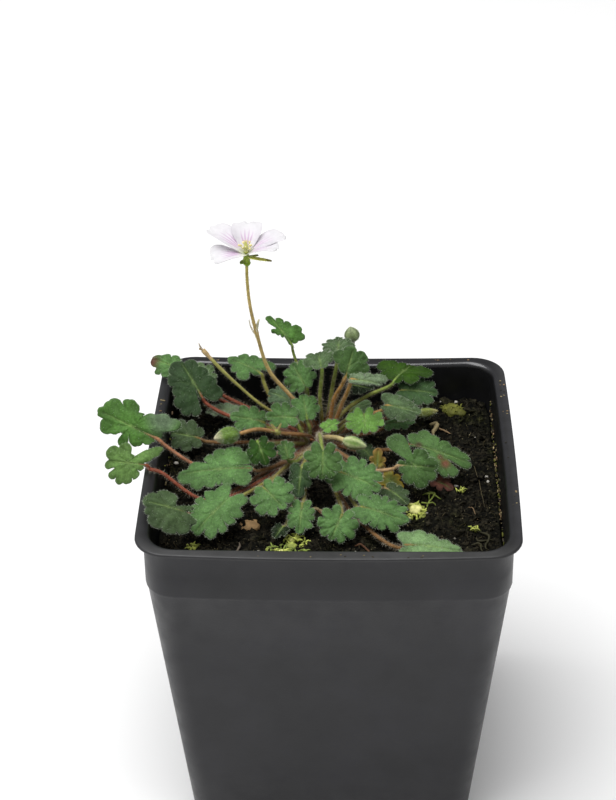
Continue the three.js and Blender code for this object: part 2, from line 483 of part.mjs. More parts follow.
// One blade: a thin plate whose two faces have the same triangles
function blade(leaf) {
  const { along, left, up } = bladeFrame(leaf);
  const lobes = bladeLobes(leaf);
  const steps = leaf.arms ? ARM_STEPS : LOBE_STEPS;
  const angles = [];
  lobes.forEach((lobe, i) => {
    const next = i + 1 < lobes.length ? lobes[i + 1].angle : lobes[0].angle + 2 * Math.PI;
    for (const share of steps) {
      angles.push(lobe.angle + (next - lobe.angle) * share);
    }
  });
  const count = angles.length;
  const notch = (steps.length - 1) / 2;
  const rows = [];
  const folded = (angle) => Math.atan2(Math.sin(angle), Math.cos(angle));
  const reaches = angles.map((angle) => bladeReach(leaf, lobes, folded(angle)));
  const put = (s, t, side) => {
    const h = bladeHeight(leaf, s, t) + side * BLADE_THICK / 2;
    const p = vec(leaf.at).addScaledVector(along, s).addScaledVector(left, t).addScaledVector(up, h);
    return [p.x, p.y, p.z];
  };
  const middle = PALM * leaf.long;
  for (const side of [1, -1]) {
    rows.push(put(middle, 0, side));
    lobes.forEach((lobe, j) => {
      const before = reaches[(j * steps.length + notch - steps.length + count) % count];
      const r = INNER * Math.min(before, reaches[j * steps.length + notch]);
      rows.push(put(middle + r * Math.cos(lobe.angle), r * Math.sin(lobe.angle), side));
    });
    for (let i = 0; i < count; i += 1) {
      const r = reaches[i];
      rows.push(put(middle + r * Math.cos(angles[i]), r * Math.sin(angles[i]), side));
    }
  }
  const inner = lobes.length;
  const rim = 1 + inner;
  const face = rim + count;
  const triangles = [];
  const add = (a, b, c) => {
    triangles.push([a, b, c], [face + a, face + c, face + b]);
  };
  for (let j = 0; j < inner; j += 1) {
    const near = 1 + j;
    const next = 1 + (j + 1) % inner;
    add(0, near, next);
    add(near, rim + j * steps.length + notch, next);
    for (let m = 0; m < steps.length; m += 1) {
      const a = j * steps.length + m;
      add(m < notch ? near : next, rim + a, rim + (a + 1) % count);
    }
  }
  for (let i = 0; i < count; i += 1) {
    const a = rim + i;
    const b = rim + (i + 1) % count;
    triangles.push([a, face + a, face + b], [a, face + b, b]);
  }
  return solid(facets(rows, triangles));
}

// The end of a petiole, just under its blade's joint
function jointUnder(leaf) {
  const { up } = bladeFrame(leaf);
  return vec(leaf.at).addScaledVector(up, -JOINT_DROP).toArray();
}

// A petiole from the crown to a blade, by the points it passes or in one low curve
const ROOT_OUT = 2.8;
const ROOT_Z = 82.6;
function petiole(leaf) {
  const end = jointUnder(leaf);
  const dx = end[0] - CROWN[0];
  const dy = end[1] - CROWN[1];
  const far = Math.hypot(dx, dy);
  const root = [CROWN[0] + ROOT_OUT * dx / far, CROWN[1] + ROOT_OUT * dy / far, ROOT_Z];
  const { along } = bladeFrame(leaf);
  const passed = leaf.pass ?? [[
    CROWN[0] + 0.6 * dx - 0.1 * far * along.x,
    CROWN[1] + 0.6 * dy - 0.1 * far * along.y,
    0.45 * end[2] + 0.55 * ROOT_Z - 0.4,
  ]];
  const nearest = passed[0];
  const drop = [0, 1, 2].map((k) => end[k] + 0.12 * (nearest[k] - end[k]) - (k === 2 ? 0.5 : 0));
  const points = [root, ...[...passed].reverse(), drop, end];
  return tube(points, PETIOLE_RADIUS, PETIOLE_SIDES, 4 + passed.length);
}

// The short woody rootstock with every petiole and stalk that grows from it
function crownBody() {
  const profile = [[0, CROWN_LOW], [CROWN_RADIUS - 1.4, CROWN_LOW + 1], [CROWN_RADIUS, CROWN_LOW + 6],
    [CROWN_RADIUS - 0.3, 81], [CROWN_RADIUS - 1, 84], [CROWN_RADIUS - 2.6, 86], [0, CROWN_TOP]];
  const stock = new THREE.LatheGeometry(profile.map(([r, z]) => new THREE.Vector2(r, z)), 12);
  stock.rotateX(Math.PI / 2);
  stock.translate(CROWN[0], CROWN[1], 0);
  const parts = [solid(stock)];
  for (const leaf of Object.values(LEAVES)) {
    parts.push(petiole(leaf));
  }
  for (const leaf of [YELLOW_UP, YELLOW_DOWN]) {
    parts.push(petiole(leaf));
  }
  for (const bud of Object.values(BUDS)) {
    parts.push(tube(bud.stalk, STALK_RADIUS, 5, 7));
  }
  parts.push(...flowerStalk(), ...spentStalk());
  return joined(parts);
}

// A small pointed blade that grows from a stalk, such as a sepal or a bract
function sliver(at, turn, rise, long, wide) {
  const { along, left, up } = bladeFrame({ turn, rise });
  const rows = [[-0.3, 0.35], [0.25, 0.8], [0.55, 1], [0.85, 0.5]];
  const points = [];
  for (const side of [1, -1]) {
    for (const [share, full] of rows) {
      for (const edge of [-1, 1]) {
        const lift = 0.12 * long * share * share + side * BLADE_THICK / 2;
        const p = vec(at).addScaledVector(along, share * long).addScaledVector(left, edge * full * wide / 2)
          .addScaledVector(up, lift);
        points.push([p.x, p.y, p.z]);
      }
    }
    const raised = 0.12 * long + side * BLADE_THICK / 2;
    const tip = vec(at).addScaledVector(along, long).addScaledVector(up, raised);
    points.push([tip.x, tip.y, tip.z]);
  }
  const face = 2 * rows.length + 1;
  const triangles = [];
  const add = (a, b, c) => {
    triangles.push([a, b, c], [face + a, face + c, face + b]);
  };
  const ring = [];
  for (let r = 0; r + 1 < rows.length; r += 1) {
    add(2 * r, 2 * r + 2, 2 * r + 3);
    add(2 * r, 2 * r + 3, 2 * r + 1);
  }
  const end = 2 * (rows.length - 1);
  add(end, end + 2, end + 1);
  for (let r = 0; r < rows.length; r += 1) {
    ring.push(2 * r);
  }
  ring.push(end + 2);
  for (let r = rows.length - 1; r >= 0; r -= 1) {
    ring.push(2 * r + 1);
  }
  ring.forEach((a, i) => {
    const b = ring[(i + 1) % ring.length];
    triangles.push([a, face + a, face + b], [a, face + b, b]);
  });
  return solid(facets(points, triangles));
}

// The flower's stalk with the bracts at its node and the sepals at its top, from the crown
function flowerStalk() {
  const parts = [tube(STALK_POINTS, STALK_RADIUS, 6, 14)];
  const node = STALK_POINTS[4];
  parts.push(sliver(node, 150, 70, 4, 1.3), sliver(node, 10, 74, 4.2, 1.3));
  const top = STALK_POINTS[STALK_POINTS.length - 1];
  for (let i = 0; i < 5; i += 1) {
    parts.push(sliver([top[0], top[1], top[2] - 0.35], 54 + 72 * i, -4, SEPAL_LONG, SEPAL_WIDE));
  }
  return parts;
}

// A petal: a thin arched plate, narrow at its foot and notched a little at its broad end
function petalBody(petal) {
  const { along, left, up } = bladeFrame(petal);
  const rows = [[0, 0.16], [0.25, 0.42], [0.5, 0.8], [0.72, 1], [0.9, 0.82], [0.99, 0.36]];
  const across = [-1, 0, 1];
  const points = [];
  for (const side of [1, -1]) {
    for (const [share, full] of rows) {
      for (const edge of across) {
        const t = edge * full * petal.wide / 2;
        const s = share * petal.long - (edge === 0 && share > 0.95 ? 0.35 : 0);
        const lift = 0.9 * Math.sin(Math.PI * share * 0.8) + 0.08 * t * t + side * BLADE_THICK / 2;
        const p = vec(FLOWER_AT).addScaledVector(along, s).addScaledVector(left, t).addScaledVector(up, lift);
        points.push([p.x, p.y, p.z]);
      }
    }
  }
  const wide = across.length;
  const face = rows.length * wide;
  const triangles = [];
  for (let r = 0; r + 1 < rows.length; r += 1) {
    for (let c = 0; c + 1 < wide; c += 1) {
      const a = r * wide + c;
      for (const [x, y, z] of [[a, a + wide, a + wide + 1], [a, a + wide + 1, a + 1]]) {
        triangles.push([x, y, z], [face + x, face + z, face + y]);
      }
    }
  }
  const ring = [];
  for (let r = 0; r < rows.length; r += 1) {
    ring.push(r * wide);
  }
  for (let c = 1; c < wide; c += 1) {
    ring.push((rows.length - 1) * wide + c);
  }
  for (let r = rows.length - 2; r >= 0; r -= 1) {
    ring.push(r * wide + wide - 1);
  }
  for (let c = wide - 2; c > 0; c -= 1) {
    ring.push(c);
  }
  ring.forEach((a, i) => {
    const b = ring[(i + 1) % ring.length];
    triangles.push([a, face + a, face + b], [a, face + b, b]);
  });
  return solid(facets(points, triangles));
}

function petalsBody() {
  const heart = new THREE.CylinderGeometry(1, 0.9, 0.8, 10);
  heart.rotateX(Math.PI / 2);
  heart.translate(FLOWER_AT[0], FLOWER_AT[1], FLOWER_AT[2] + 0.1);
  return joined([solid(heart), ...PETALS.map(petalBody)]);
}

// The pistil and the stamens round it
function centreBody() {
  const base = [FLOWER_AT[0], FLOWER_AT[1], FLOWER_AT[2] + 1.1];
  const parts = [tube([base, [base[0], base[1], base[2] + 3]], 0.45, 6, 2)];
  for (let i = 0; i < 6; i += 1) {
    const turn = radians(60 * i + 20);
    const foot = [base[0] + 0.3 * Math.cos(turn), base[1] + 0.3 * Math.sin(turn), base[2] + 0.4];
    const head = [base[0] + 1.3 * Math.cos(turn), base[1] + 1.3 * Math.sin(turn), base[2] + 2.2];
    parts.push(tube([foot, head], 0.3, 5, 1));
  }
  return joined(parts);
}

// A bud: an egg with a blunt foot, its long axis along its stalk's end
function budBody(bud) {
  const profile = [];
  const steps = 8;
  for (let i = 0; i <= steps; i += 1) {
    const share = i / steps;
    const r = i % steps === 0 ? 0 : (bud.thick / 2) * Math.sin(Math.PI * share ** 0.8) ** 0.7;
    profile.push(new THREE.Vector2(r, bud.long * (share - 0.5)));
  }
  const geometry = new THREE.LatheGeometry(profile, 9);
  const upright = new THREE.Vector3(0, 1, 0);
  const turn = new THREE.Quaternion().setFromUnitVectors(upright, vec(bud.along).normalize());
  geometry.applyQuaternion(turn);
  geometry.translate(bud.at[0], bud.at[1], bud.at[2]);
  return solid(geometry);
}

// The dry stalk that has lost its flowers, with its withered bracts
function spentStalk() {
  const tip = SPENT_POINTS[SPENT_POINTS.length - 1];
  const stalk = tube(SPENT_POINTS, 0.5, 5, 9);
  return [stalk, sliver(tip, 150, 42, 3, 1)];
}

const plant = new THREE.Group();
plant.add(named('pot', potBody(), PLASTIC));
plant.add(named('soil', soilBody(), PEAT));
plant.add(named('crown_and_stems', crownBody(), STEM));
for (const [name, leaf] of Object.entries(LEAVES)) {
  plant.add(named(name, blade(leaf), GREEN));
}
plant.add(named('flower_petals', petalsBody(), PETAL));
plant.add(named('flower_centre', centreBody(), YELLOW));
for (const [name, bud] of Object.entries(BUDS)) {
  plant.add(named(name, budBody(bud), GREEN));
}
plant.add(named('yellow_leaf_standing', blade(YELLOW_UP), YELLOW));
plant.add(named('yellow_leaf_lying', blade(YELLOW_DOWN), YELLOW));
plant.add(named('dead_leaf', blade(DEAD_LEAF), DEAD));

export default plant;
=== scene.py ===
import itertools
import math

import bpy
import numpy as np
from mathutils import Matrix, Vector


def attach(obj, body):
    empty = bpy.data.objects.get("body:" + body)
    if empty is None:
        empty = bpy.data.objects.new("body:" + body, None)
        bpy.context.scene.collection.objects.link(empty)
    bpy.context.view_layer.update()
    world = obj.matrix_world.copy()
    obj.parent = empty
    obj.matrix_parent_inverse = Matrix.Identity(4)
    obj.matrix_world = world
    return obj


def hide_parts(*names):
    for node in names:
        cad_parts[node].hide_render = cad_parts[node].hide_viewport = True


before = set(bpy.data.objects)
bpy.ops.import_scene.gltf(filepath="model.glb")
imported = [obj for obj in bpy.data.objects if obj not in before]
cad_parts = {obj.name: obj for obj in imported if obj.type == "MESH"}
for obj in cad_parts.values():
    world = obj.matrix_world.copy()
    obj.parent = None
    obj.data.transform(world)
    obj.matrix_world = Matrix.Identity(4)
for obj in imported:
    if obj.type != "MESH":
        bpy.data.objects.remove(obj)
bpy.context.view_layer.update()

# Everything below is in millimetres, in the part's own frame, until it is made into meshes in metres
MM = 0.001

# The picture, and the camera that was fitted to the pot's rim in it
PICTURE_WIDE = 616
PICTURE_HIGH = 800
FOCAL_PIXELS = 1990.6
SENSOR = 36.0
AIM = (0.0, 0.0, 90.0)
AIM_PIXEL = (330.85, 448.81)
AIM_DISTANCE = 490.09
CAMERA_RISE = math.radians(31.67)
CAMERA_TURN = math.radians(1.923)
CAMERA_ROLL = math.radians(-0.778)

# The pot, as the part has it
POT_HALF = 44.8
WALL = 1.6
STEP_HALF = 43.0
STEP_Z = 76.0
FOOT_HALF = 34.8
FLOOR_THICK = 1.8
CORNER_RADIUS = 8.0
SIDE_BULGES = (0.45, -0.7, 0.3, 1.2)
DRAIN_RADIUS = 4.0
DRAIN_PLACES = ((20, 20), (-20, 20), (-20, -20), (20, -20))
DRAIN_SIDES = 40
DRILL_PAST = 3.0

# The soil
SOIL_LEVEL = 79.3
SOIL_BUMP = 0.6
SOIL_GAP = 0.35

# The plant
CROWN = (-3.5, 15.5)
ROOT_OUT = 2.8
ROOT_Z = 82.6
PETIOLE_RADIUS = 0.46
STALK_RADIUS = 0.5
BLADE_THICK = 0.4
JOINT_DROP = 0.85
PALM = 0.42
EAR = 0.14
SINUS = 1.14
FULLNESS = 2.4


def colour(red, green, blue):
    """A display colour, 0 to 255, as the linear numbers that a shader reads."""
    shares = np.array([red, green, blue]) / 255
    return np.where(shares <= 0.04045, shares / 12.92, ((shares + 0.055) / 1.055) ** 2.4)


# What a leaf's upper face looks like: its own colour and how thickly the short pale hairs stand on it. The
# lit look's saturated yellow-green is painted light, as of light shining through the blade
LEAF_LOOKS = {
    "plain": (colour(78, 111, 61), 1.0),
    "mid": (colour(70, 99, 52), 0.9),
    "rich": (colour(72, 109, 48), 0.5),
    "fresh": (colour(83, 112, 57), 0.5),
    "dark": (colour(54, 78, 45), 0.8),
    "deep": (colour(48, 84, 24), 0.5),
    # Painted light: a saturated yellow-green, as if light shone through the blade
    "lit": (colour(52, 86, 13), 0.3),
    "young": (colour(98, 138, 64), 1.3),
    "dull": (colour(67, 86, 54), 0.8),
    "blue": (colour(76, 97, 69), 1.2),
    "hairy": (colour(79, 101, 66), 2.0),
    "silver": (colour(96, 114, 85), 2.6),
    "pale": (colour(98, 125, 81), 1.6),
}

# What a petiole looks like: its colour by the blade and by the crown
STEM_LOOKS = {
    "red": (colour(136, 74, 56), colour(122, 70, 50)),
    "salmon": (colour(172, 122, 92), colour(156, 98, 70)),
    "brown": (colour(128, 98, 62), colour(108, 72, 48)),
    "orange": (colour(172, 136, 76), colour(156, 104, 60)),
    "olive": (colour(130, 132, 66), colour(120, 98, 54)),
    "green": (colour(126, 150, 70), colour(132, 122, 66)),
    "pale": (colour(178, 148, 108), colour(156, 116, 80)),
}

# The small lobe at the joint that most leaves with arms end in
AT_JOINT = (179, 0.43, 0.06)

# One row for each leaf: where its blade joins the petiole, the way its midrib turns, rises and rolls in
# degrees, its length and width, the points that its petiole passes, and the looks of its face and petiole.
# A leaf seen well has arms: each one's angle from the tip, how far it reaches and its radius, the last two
# as shares of the length. The others have a number of even lobes. palm is how full the blade's middle is,
# ear how far the lobes behind the joint reach, cup how high the sides rise, and slim how thin the petiole
# is by the blade
LEAVES = {
    "leaf_01": dict(at=(-42.4, -1, 93.2), turn=156, rise=14, roll=-48, long=17.2, wide=12.2,
         arms=[(-173, 0.47, 0.09), (-152, 0.71, 0.1), (-148, 0.58, 0.14), (-143, 0.41, 0.14),
          (-118, 0.26, 0.12), (-51, 0.41, 0.16), (-17, 0.54, 0.16), (1, 0.59, 0.08), (23, 0.38, 0.13),
          (23, 0.49, 0.13), (85, 0.33, 0.08), (137, 0.31, 0.11), (166, 0.38, 0.08), AT_JOINT],
         by=[(-31, -1.5, 85), (-16, 6, 83.6)], look="rich", stem="salmon"),
    "leaf_02": dict(at=(-44.2, -11.6, 92.6), turn=165, rise=-4, roll=-40, long=11, wide=10,
         arms=[(-176, 0.42, 0.18), (-152, 0.59, 0.14), (-149, 0.77, 0.12), (-149, 0.84, 0.07),
          (-66, 0.48, 0.16), (-26, 0.63, 0.17), (9, 0.37, 0.13), (9, 0.56, 0.12), (43, 0.54, 0.1),
          (63, 0.41, 0.12), (71, 0.53, 0.1), (97, 0.49, 0.12), (127, 0.42, 0.13), AT_JOINT],
         by=[(-41, -12, 90.9), (-30, -14.4, 84.2), (-15, -1, 82.8)], look="fresh", stem="red"),
    "leaf_03": dict(at=(-33.3, 23.9, 89.8), turn=127, rise=30, roll=-18, long=12, wide=12.2,
         arms=[(-150, 0.71, 0.19), (-126, 0.51, 0.19), (-72, 0.42, 0.18), (-21, 0.54, 0.17),
          (18, 0.66, 0.21), (52, 0.56, 0.18), (95, 0.51, 0.19), (120, 0.68, 0.15), (140, 0.78, 0.15),
          (155, 0.78, 0.13), AT_JOINT], by=[(-27, 20.2, 87), (-14, 17, 84.6)], look="dark",
         stem="red"),
    "leaf_04": dict(at=(-38.4, 32.2, 92.8), turn=153, rise=5, roll=-28, long=10.2, wide=7,
         arms=[(-106, 0.32, 0.15), (-27, 0.37, 0.17), (3, 0.57, 0.18), (51, 0.45, 0.13), (91, 0.38, 0.15),
          AT_JOINT], by=[(-36, 31.4, 90.6), (-27, 29.2, 86.4), (-14, 22, 84)], look="plain",
         stem="red"),
    "leaf_05": dict(at=(-18.3, 30.5, 93.2), turn=150, rise=6, roll=-8, long=10.5, wide=9.6,
         arms=[(-141, 0.7, 0.19), (-129, 0.58, 0.2), (-83, 0.46, 0.21), (-37, 0.51, 0.21), (-3, 0.58, 0.19),
          (55, 0.44, 0.18), (104, 0.52, 0.16), (178, 0.37, 0.19), AT_JOINT], by=[(-15.5, 26, 88)],
         look="plain", stem="olive"),
    "leaf_06": dict(at=(-10.3, 30, 102.2), turn=132, rise=24, roll=-14, long=10.4, wide=11.4, palm=0.3,
         arms=[(-161, 0.47, 0.1), (-140, 0.58, 0.12), (-115, 0.5, 0.14), (-64, 0.34, 0.13), (-20, 0.42, 0.13),
          (3, 0.61, 0.09), (5, 0.49, 0.1), (48, 0.28, 0.06), (140, 0.18, 0.07), AT_JOINT],
         by=[(-9.5, 29.4, 98), (-6.4, 24.5, 90.4)], look="rich", stem="green", slim=0.75),
    "leaf_07": dict(at=(1.5, 22, 104.4), turn=88, rise=2, roll=0, long=7, wide=8.6, lobes=9,
         by=[(0, 20, 95)], look="hairy", stem="green"),
    "leaf_08": dict(at=(-2.6, 17, 103.2), turn=100, rise=20, roll=-18, long=5, wide=8.4, lobes=7, cup=0.3,
         by=[(-3, 17, 94)], look="hairy", stem="green"),
    "leaf_09": dict(at=(3.4, 14, 101.9), turn=71, rise=40, roll=26, long=8, wide=10.2,
         arms=[(-127, 0.53, 0.28), (-82, 0.67, 0.21), (-41, 0.68, 0.25), (10, 0.63, 0.25), (63, 0.62, 0.24),
          (121, 0.36, 0.23), AT_JOINT], by=[(0.5, 15, 95)], look="mid", stem="orange"),
    "leaf_10": dict(at=(5, 10.6, 103.8), turn=-5, rise=-10, roll=40, long=8.8, wide=4.4,
         arms=[(18, 0.5, 0.18), (19, 0.59, 0.13), (47, 0.27, 0.18), (169, 0.36, 0.17), (180, 0.54, 0.14),
          AT_JOINT], by=[(2.4, 13.4, 94)], look="silver", stem="orange"),
    "leaf_11": dict(at=(-6.6, 19.5, 95.9), turn=120, rise=26, roll=-37, long=7.8, wide=8.8, lobes=9,
         by=[(-6, 20.6, 90)], look="plain", stem="green"),
    "leaf_12": dict(at=(-10.8, 22.4, 89.8), turn=152, rise=10, roll=-20, long=6.5, wide=6.4, lobes=7,
         by=[(-8.6, 20, 86.6)], look="blue", stem="olive"),
    "leaf_13": dict(at=(-6.2, 13, 90.8), turn=102, rise=28, roll=-4, long=6.7, wide=7.6, lobes=7,
         by=[(-5.6, 13, 88)], look="plain", stem="green"),
    "leaf_14": dict(at=(-9, 12, 91.4), turn=175, rise=-2, roll=-30, long=7.6, wide=7.5, lobes=7, cup=0.2,
         by=[(-7.4, 10.8, 87.6)], look="plain", stem="green"),
    "leaf_15": dict(at=(-17.3, 16, 87.6), turn=172, rise=5, roll=-26, long=8.8, wide=8.2, lobes=7,
         by=[(-12, 15.6, 84.4)], look="plain", stem="olive"),
    "leaf_16": dict(at=(-24.8, 25.1, 85.3), turn=188, rise=0, roll=2, long=8, wide=6.4, lobes=9,
         by=[(-15, 20, 83.4)], look="silver", stem="red"),
    "leaf_17": dict(at=(-33.6, 13.9, 84), turn=171, rise=5, roll=-30, long=8, wide=9, lobes=7,
         by=[(-20, 15.5, 81.8)], look="dull", stem="brown"),
    "leaf_18": dict(at=(-19.3, -4.6, 87.2), turn=182, rise=-6, roll=-18, long=18.6, wide=10.6, palm=0.5,
         arms=[(-153, 0.5, 0.12), (-122, 0.46, 0.13), (-92, 0.37, 0.12), (-62, 0.32, 0.11), (-12, 0.44, 0.1),
          (7, 0.58, 0.12), (32, 0.46, 0.1), (56, 0.33, 0.1), (84, 0.27, 0.1), (118, 0.31, 0.11),
          (149, 0.46, 0.12), (178, 0.44, 0.06)], look="plain", stem="brown"),
    "leaf_19": dict(at=(-18.1, 1.2, 91.5), turn=-66, rise=-33, roll=16, long=7, wide=7.3, lobes=7,
         look="deep", stem="green"),
    "leaf_20": dict(at=(-10.5, -1.6, 88.2), turn=108, rise=36, roll=-10, long=4.8, wide=4.6, lobes=7,
         by=[(-8.6, 0, 86.2), (-6.4, 6, 84.6)], look="mid", stem="green"),
    "leaf_21": dict(at=(-24.1, -17.6, 87.2), turn=-130, rise=-18, roll=-12, long=13.4, wide=11.8, lobes=11,
         ear=0.3, by=[(-14, -4, 84.2)], look="plain", stem="olive"),
    "leaf_22": dict(at=(-33.9, -28, 90.4), turn=178, rise=15, roll=-22, long=9.6, wide=11.2,
         arms=[(-38, 0.48, 0.35), (-1, 0.63, 0.3), (27, 0.6, 0.34), (69, 0.68, 0.32), (109, 0.75, 0.27),
          (136, 0.82, 0.23), (171, 0.83, 0.26), AT_JOINT], by=[(-35.6, -23.5, 86.4),
          (-33.6, -20, 84.2), (-22, -6, 82.8)], look="dull", stem="brown"),
    "leaf_23": dict(at=(-16, -15.3, 88.9), turn=-44, rise=-22, roll=24, long=8.2, wide=11.4, lobes=9,
         by=[(-12, -3, 85.6)], look="plain", stem="olive"),
    "leaf_24": dict(at=(-7, -3.8, 87.8), turn=-95, rise=-30, roll=6, long=9.2, wide=6, lobes=7,
         by=[(-6, 4, 86)], look="dark", stem="olive"),
    "leaf_25": dict(at=(-1.7, -9.1, 95), turn=-92, rise=-50, roll=-2, long=6.8, wide=9.6, lobes=9, ear=0.42,
         by=[(-2.4, -2, 94), (-3, 7, 89.6)], look="mid", stem="green"),
    "leaf_26": dict(at=(2, -8.7, 89.2), turn=-23, rise=-13, roll=26, long=11.6, wide=11, lobes=11, ear=0.34,
         by=[(0, 0, 87.4)], look="plain", stem="olive"),
    "leaf_27": dict(at=(7.4, -18.4, 85.6), turn=-20, rise=-9, roll=22, long=12.4, wide=9.4, lobes=11,
         ear=0.2, by=[(5, -11, 82.8), (1, 1, 82.6)], look="plain", stem="olive"),
    "leaf_28": dict(at=(13.5, -7.8, 83.8), turn=-42, rise=-12, roll=14, long=7.4, wide=6, lobes=7,
         by=[(8, -1, 82.6)], look="dull", stem="pale"),
    "leaf_29": dict(at=(16.5, -4.9, 88.5), turn=6, rise=-9, roll=40, long=9.8, wide=12, palm=0.6,
         arms=[(-157, 0.42, 0.15), (-112, 0.52, 0.2), (-68, 0.6, 0.2), (-26, 0.6, 0.19), (10, 0.6, 0.2),
          (62, 0.5, 0.24), (128, 1.02, 0.26), (172, 0.44, 0.08)], by=[(10, -4, 86.4), (3, 5, 85)],
         look="mid", stem="pale"),
    "leaf_30": dict(at=(19.6, 6, 87.6), turn=-18, rise=-10, roll=24, long=16.2, wide=10,
         arms=[(-100, 0.3, 0.12), (-61, 0.37, 0.1), (-49, 0.47, 0.09), (-34, 0.52, 0.09), (-4, 0.59, 0.09),
          (2, 0.55, 0.13), (13, 0.4, 0.12), (50, 0.26, 0.12), (128, 0.29, 0.12), (148, 0.46, 0.13),
          (164, 0.53, 0.12), AT_JOINT], by=[(10, 8, 84.6)], look="mid", stem="brown"),
    "leaf_31": dict(at=(8.1, 11.5, 93), turn=-85, rise=-20, roll=2, long=6.6, wide=10.2, lobes=9, ear=0.3,
         by=[(5, 13, 90)], look="young", stem="green"),
    "leaf_32": dict(at=(13.7, 19, 91), turn=-12, rise=-10, roll=22, long=9.2, wide=6.8,
         arms=[(-174, 0.58, 0.17), (-135, 0.51, 0.2), (-73, 0.42, 0.19), (-26, 0.53, 0.15), (3, 0.57, 0.17),
          (28, 0.42, 0.19), (101, 0.36, 0.2), (142, 0.52, 0.2), (152, 0.68, 0.18), AT_JOINT],
         by=[(9, 18, 88.4)], look="hairy", stem="orange"),
    "leaf_33": dict(at=(17.6, 28.6, 89.6), turn=-4, rise=-6, roll=20, long=9.6, wide=9.6, lobes=9,
         by=[(10, 22, 84.2)], look="dark", stem="olive"),
    "leaf_34": dict(at=(16, 29.6, 92.2), turn=46, rise=12, roll=10, long=8.6, wide=14,
         arms=[(-173, 0.6, 0.19), (-104, 0.63, 0.25), (-54, 0.87, 0.2), (-48, 0.64, 0.2), (-30, 0.4, 0.21),
          (82, 0.31, 0.2), (105, 0.62, 0.22), (112, 0.87, 0.21), (147, 0.75, 0.21), AT_JOINT],
         by=[(9, 25, 90), (3, 20.5, 88)], look="lit", stem="green"),
    "leaf_35": dict(at=(4.5, 25.5, 93), turn=-20, rise=-4, roll=9, long=6.4, wide=5.6, lobes=7,
         by=[(1, 20, 88.6)], look="dark", stem="olive"),
    "leaf_36": dict(at=(4.7, 24.1, 86), turn=34, rise=2, roll=8, long=6.2, wide=5.4, lobes=7,
         by=[(1.5, 20, 84)], look="hairy", stem="olive"),
    "leaf_37": dict(at=(13.6, 20, 84.6), turn=6, rise=-1, roll=10, long=7.6, wide=5.8, lobes=7,
         by=[(6, 17.6, 82.6)], look="dark", stem="brown"),
    "leaf_38": dict(at=(-2, 10, 89), turn=30, rise=14, roll=10, long=4.6, wide=4.6, lobes=5,
         by=[(-2.6, 11.6, 86.4)], look="young", stem="green"),
    "leaf_39": dict(at=(-10.9, -22.6, 82.8), turn=-118, rise=-14, roll=-8, long=4.6, wide=3.8, lobes=5,
         by=[(-9.6, -16, 81.4), (-7.5, -4, 81.8)], look="dark", stem="olive"),
    "leaf_40": dict(at=(-6.6, -17.7, 86), turn=-95, rise=-32, roll=-3, long=8.2, wide=6.6, lobes=9,
         by=[(-6.4, -12, 82.9), (-6, -2, 82.8)], look="plain", stem="olive"),
    "leaf_41": dict(at=(3, -22.4, 86), turn=-118, rise=-36, roll=-20, long=7, wide=10, lobes=9, ear=0.3,
         by=[(2.6, -14, 82.8), (-0.6, 0, 82.6)], look="plain", stem="olive"),
    "leaf_42": dict(at=(17.6, -33, 85), turn=-12, rise=-2, roll=12, long=14.6, wide=9.6,
         arms=[(-151, 0.52, 0.15), (-117, 0.43, 0.17), (-45, 0.43, 0.14), (-9, 0.58, 0.1), (-4, 0.52, 0.13),
          (11, 0.35, 0.15), (101, 0.27, 0.16), (145, 0.45, 0.16), (164, 0.6, 0.16), AT_JOINT],
         by=[(13.5, -28, 81.8), (4, -12, 81.2), (0, 2, 82)], look="pale", stem="brown"),
    "leaf_43": dict(at=(-33.4, 31.6, 88.2), turn=106, rise=32, roll=-6, long=7.4, wide=7.6, lobes=7,
         by=[(-28, 30.6, 84.4), (-14, 22.5, 83)], look="dull", stem="red"),
    "leaf_44": dict(at=(7.7, 8, 85.4), turn=-58, rise=-16, roll=10, long=5.4, wide=4.6, lobes=5,
         by=[(3, 11, 83.4)], look="dull", stem="brown"),
}

# Stains on single leaves: how far along and across the blade, how wide, and the colour
STAINS = {
    "leaf_01": [(1.0, -4.8, 3.8, colour(100, 120, 92))],
    "leaf_04": [(9.6, 1.0, 2.2, colour(92, 62, 50))],
    "leaf_30": [(10.2, -2.6, 1.2, colour(112, 68, 50)), (8.4, -1.4, 0.8, colour(92, 66, 48)),
                (2.2, 0.0, 0.9, colour(92, 74, 58))],
}

# Leaves that are darker or lighter than others of their kind, partly in their own tone and partly as painted
# shade where other leaves shadow them
LEAF_TONES_AND_PAINTED_SHADE = {
    "leaf_01": 0.86, "leaf_03": 0.68, "leaf_06": 0.9, "leaf_07": 0.84, "leaf_09": 0.78, "leaf_10": 1.12,
    "leaf_17": 0.76, "leaf_19": 0.64, "leaf_22": 0.82, "leaf_24": 0.66, "leaf_28": 0.7, "leaf_29": 0.82,
    "leaf_32": 0.86, "leaf_34": 0.58, "leaf_35": 0.24, "leaf_36": 1.9, "leaf_37": 2.0, "leaf_39": 0.26,
    "leaf_43": 1.7,
}

# The flower, the buds and the bare stalks
FLOWER_AT = (-20.3, 14, 136.6)
PETALS = (
    dict(turn=90, rise=25, long=9.6, wide=7.6, strong=0.7),
    dict(turn=152, rise=20, long=11.5, wide=7.4, strong=0.75),
    dict(turn=22, rise=14, long=10.6, wide=6.6, strong=0.5, flush=0.35),
    dict(turn=-20, rise=16, long=9.0, wide=5.6, strong=0.45, flush=0.4),
    dict(turn=208, rise=-3, long=8.9, wide=8.6, strong=0.8, flush=0.2, veins=(-0.55, -0.3, -0.05, 0.2)),
)
STALK_POINTS = ((-4.8, 17.4, 84), (-7, 19.2, 89), (-10.9, 19.5, 93.8), (-15.7, 19, 100.9),
                (-18.6, 17, 113.3), (-19.9, 15.5, 121.8), (-20.3, 14, 130.6), (-20.1, 14, 137))
STALK_NODE = 4
SPENT_POINTS = ((-5.4, 16.2, 84), (-11, 17.6, 86.8), (-17.8, 18, 91.4), (-23.3, 20, 95.5),
                (-28.4, 22, 99.9), (-32.7, 24, 104))
